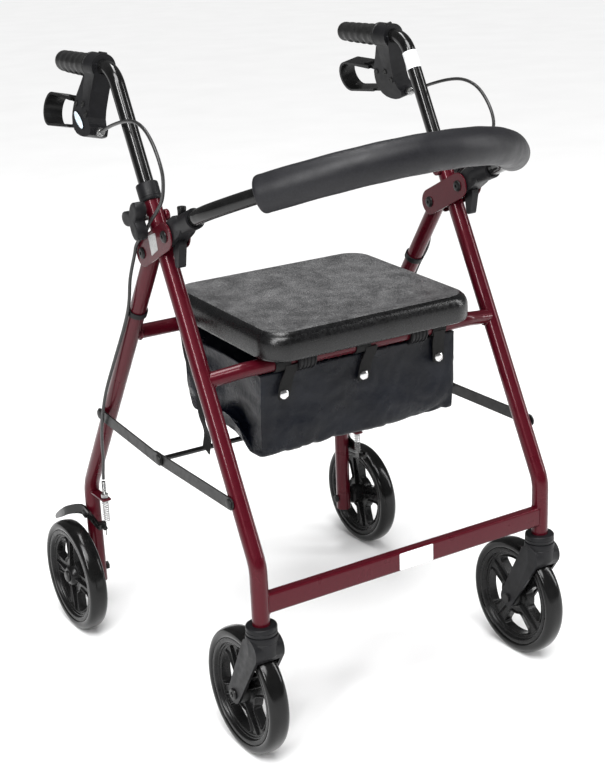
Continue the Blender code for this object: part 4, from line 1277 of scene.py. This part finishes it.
def studio():
    """A pale floor under a soft sun, with three softboxes."""
    bm = bmesh.new()
    bmesh.ops.create_grid(bm, x_segments=2, y_segments=2, size=60)
    floor = placed("studio_floor", mesh_of("studio_floor", bm))
    floor.data.materials.append(MATERIALS["pale_floor"])

    world = bpy.data.worlds.new("studio")
    bpy.context.scene.world = world
    world.use_nodes = True
    background = world.node_tree.nodes["Background"]
    background.inputs["Color"].default_value = (1, 1, 1, 1)
    background.inputs["Strength"].default_value = 0.15

    def softbox(name, place, size, power):
        light = bpy.data.lights.new(name, "AREA")
        light.shape = "RECTANGLE"
        light.size, light.size_y = size
        light.energy = power
        made = placed(name, light)
        made.location = place
        aim = Vector((0, 0, 0.5)) - Vector(place)
        made.rotation_euler = aim.to_track_quat("-Z", "Y").to_euler()

    softbox("key", (-2.4, -1.6, 2.4), (0.4, 2.2), 80)
    softbox("fill", (2.4, -1.4, 1.7), (0.35, 2.2), 36)
    softbox("top", (0.2, 0.4, 3.0), (0.5, 1.4), 30)
    light = bpy.data.lights.new("sky", "SUN")
    light.energy = 3.5
    light.angle = math.radians(34)
    placed("sky", light).rotation_euler = (math.radians(26), math.radians(-14), 0)


def camera():
    """The viewing angle of the photograph, from its vanishing lines and the known wheel size."""
    azimuth, elevation, roll = map(math.radians, (-31.4268, 19.8774, -2.4919))
    back = Vector((math.sin(azimuth) * math.cos(elevation),
                   -math.cos(azimuth) * math.cos(elevation), math.sin(elevation)))
    right = (-back).cross(Z).normalized()
    up = right.cross(-back)
    across_roll = right * math.cos(roll) + up * math.sin(roll)
    up_roll = up * math.cos(roll) - right * math.sin(roll)
    lens = bpy.data.cameras.new("camera")
    lens.sensor_width = 36
    lens.lens = 69.204
    lens.shift_x = 0.00574
    lens.shift_y = 0.03995
    lens.clip_start = 0.05
    made = placed("camera", lens)
    made.matrix_world = Matrix.Translation((-1.16007, -1.87749, 1.18947)) @ Matrix(
        (across_roll, up_roll, back)).transposed().to_4x4()
    bpy.context.scene.camera = made
    bpy.context.scene.view_settings.view_transform = "Standard"


camera()
for side_name, sign in SIDES:
    cable(side_name, sign)
studio()
cross_members()
for side_name, sign in SIDES:
    front_frame(side_name, sign)
    caster(side_name, sign)
    rear_frame(side_name, sign)
    adjuster(side_name, sign)
    brake_arm(side_name, sign)
    spreader(side_name, sign)
    low, high = sorted((-sign * 0.027, sign * 0.015))
    wheel("rear_" + side_name, (sign * REAR_WHEEL_X, AXLE_Y, WHEEL_R), low, high,
          "rear_wheel_" + side_name, 40 - sign * 7)
    knob(side_name, sign)
    handle(side_name, sign)
    backrest_holder(side_name, sign)
backrest()
seat()
bag()
bag_trim()

low, high = cad_box
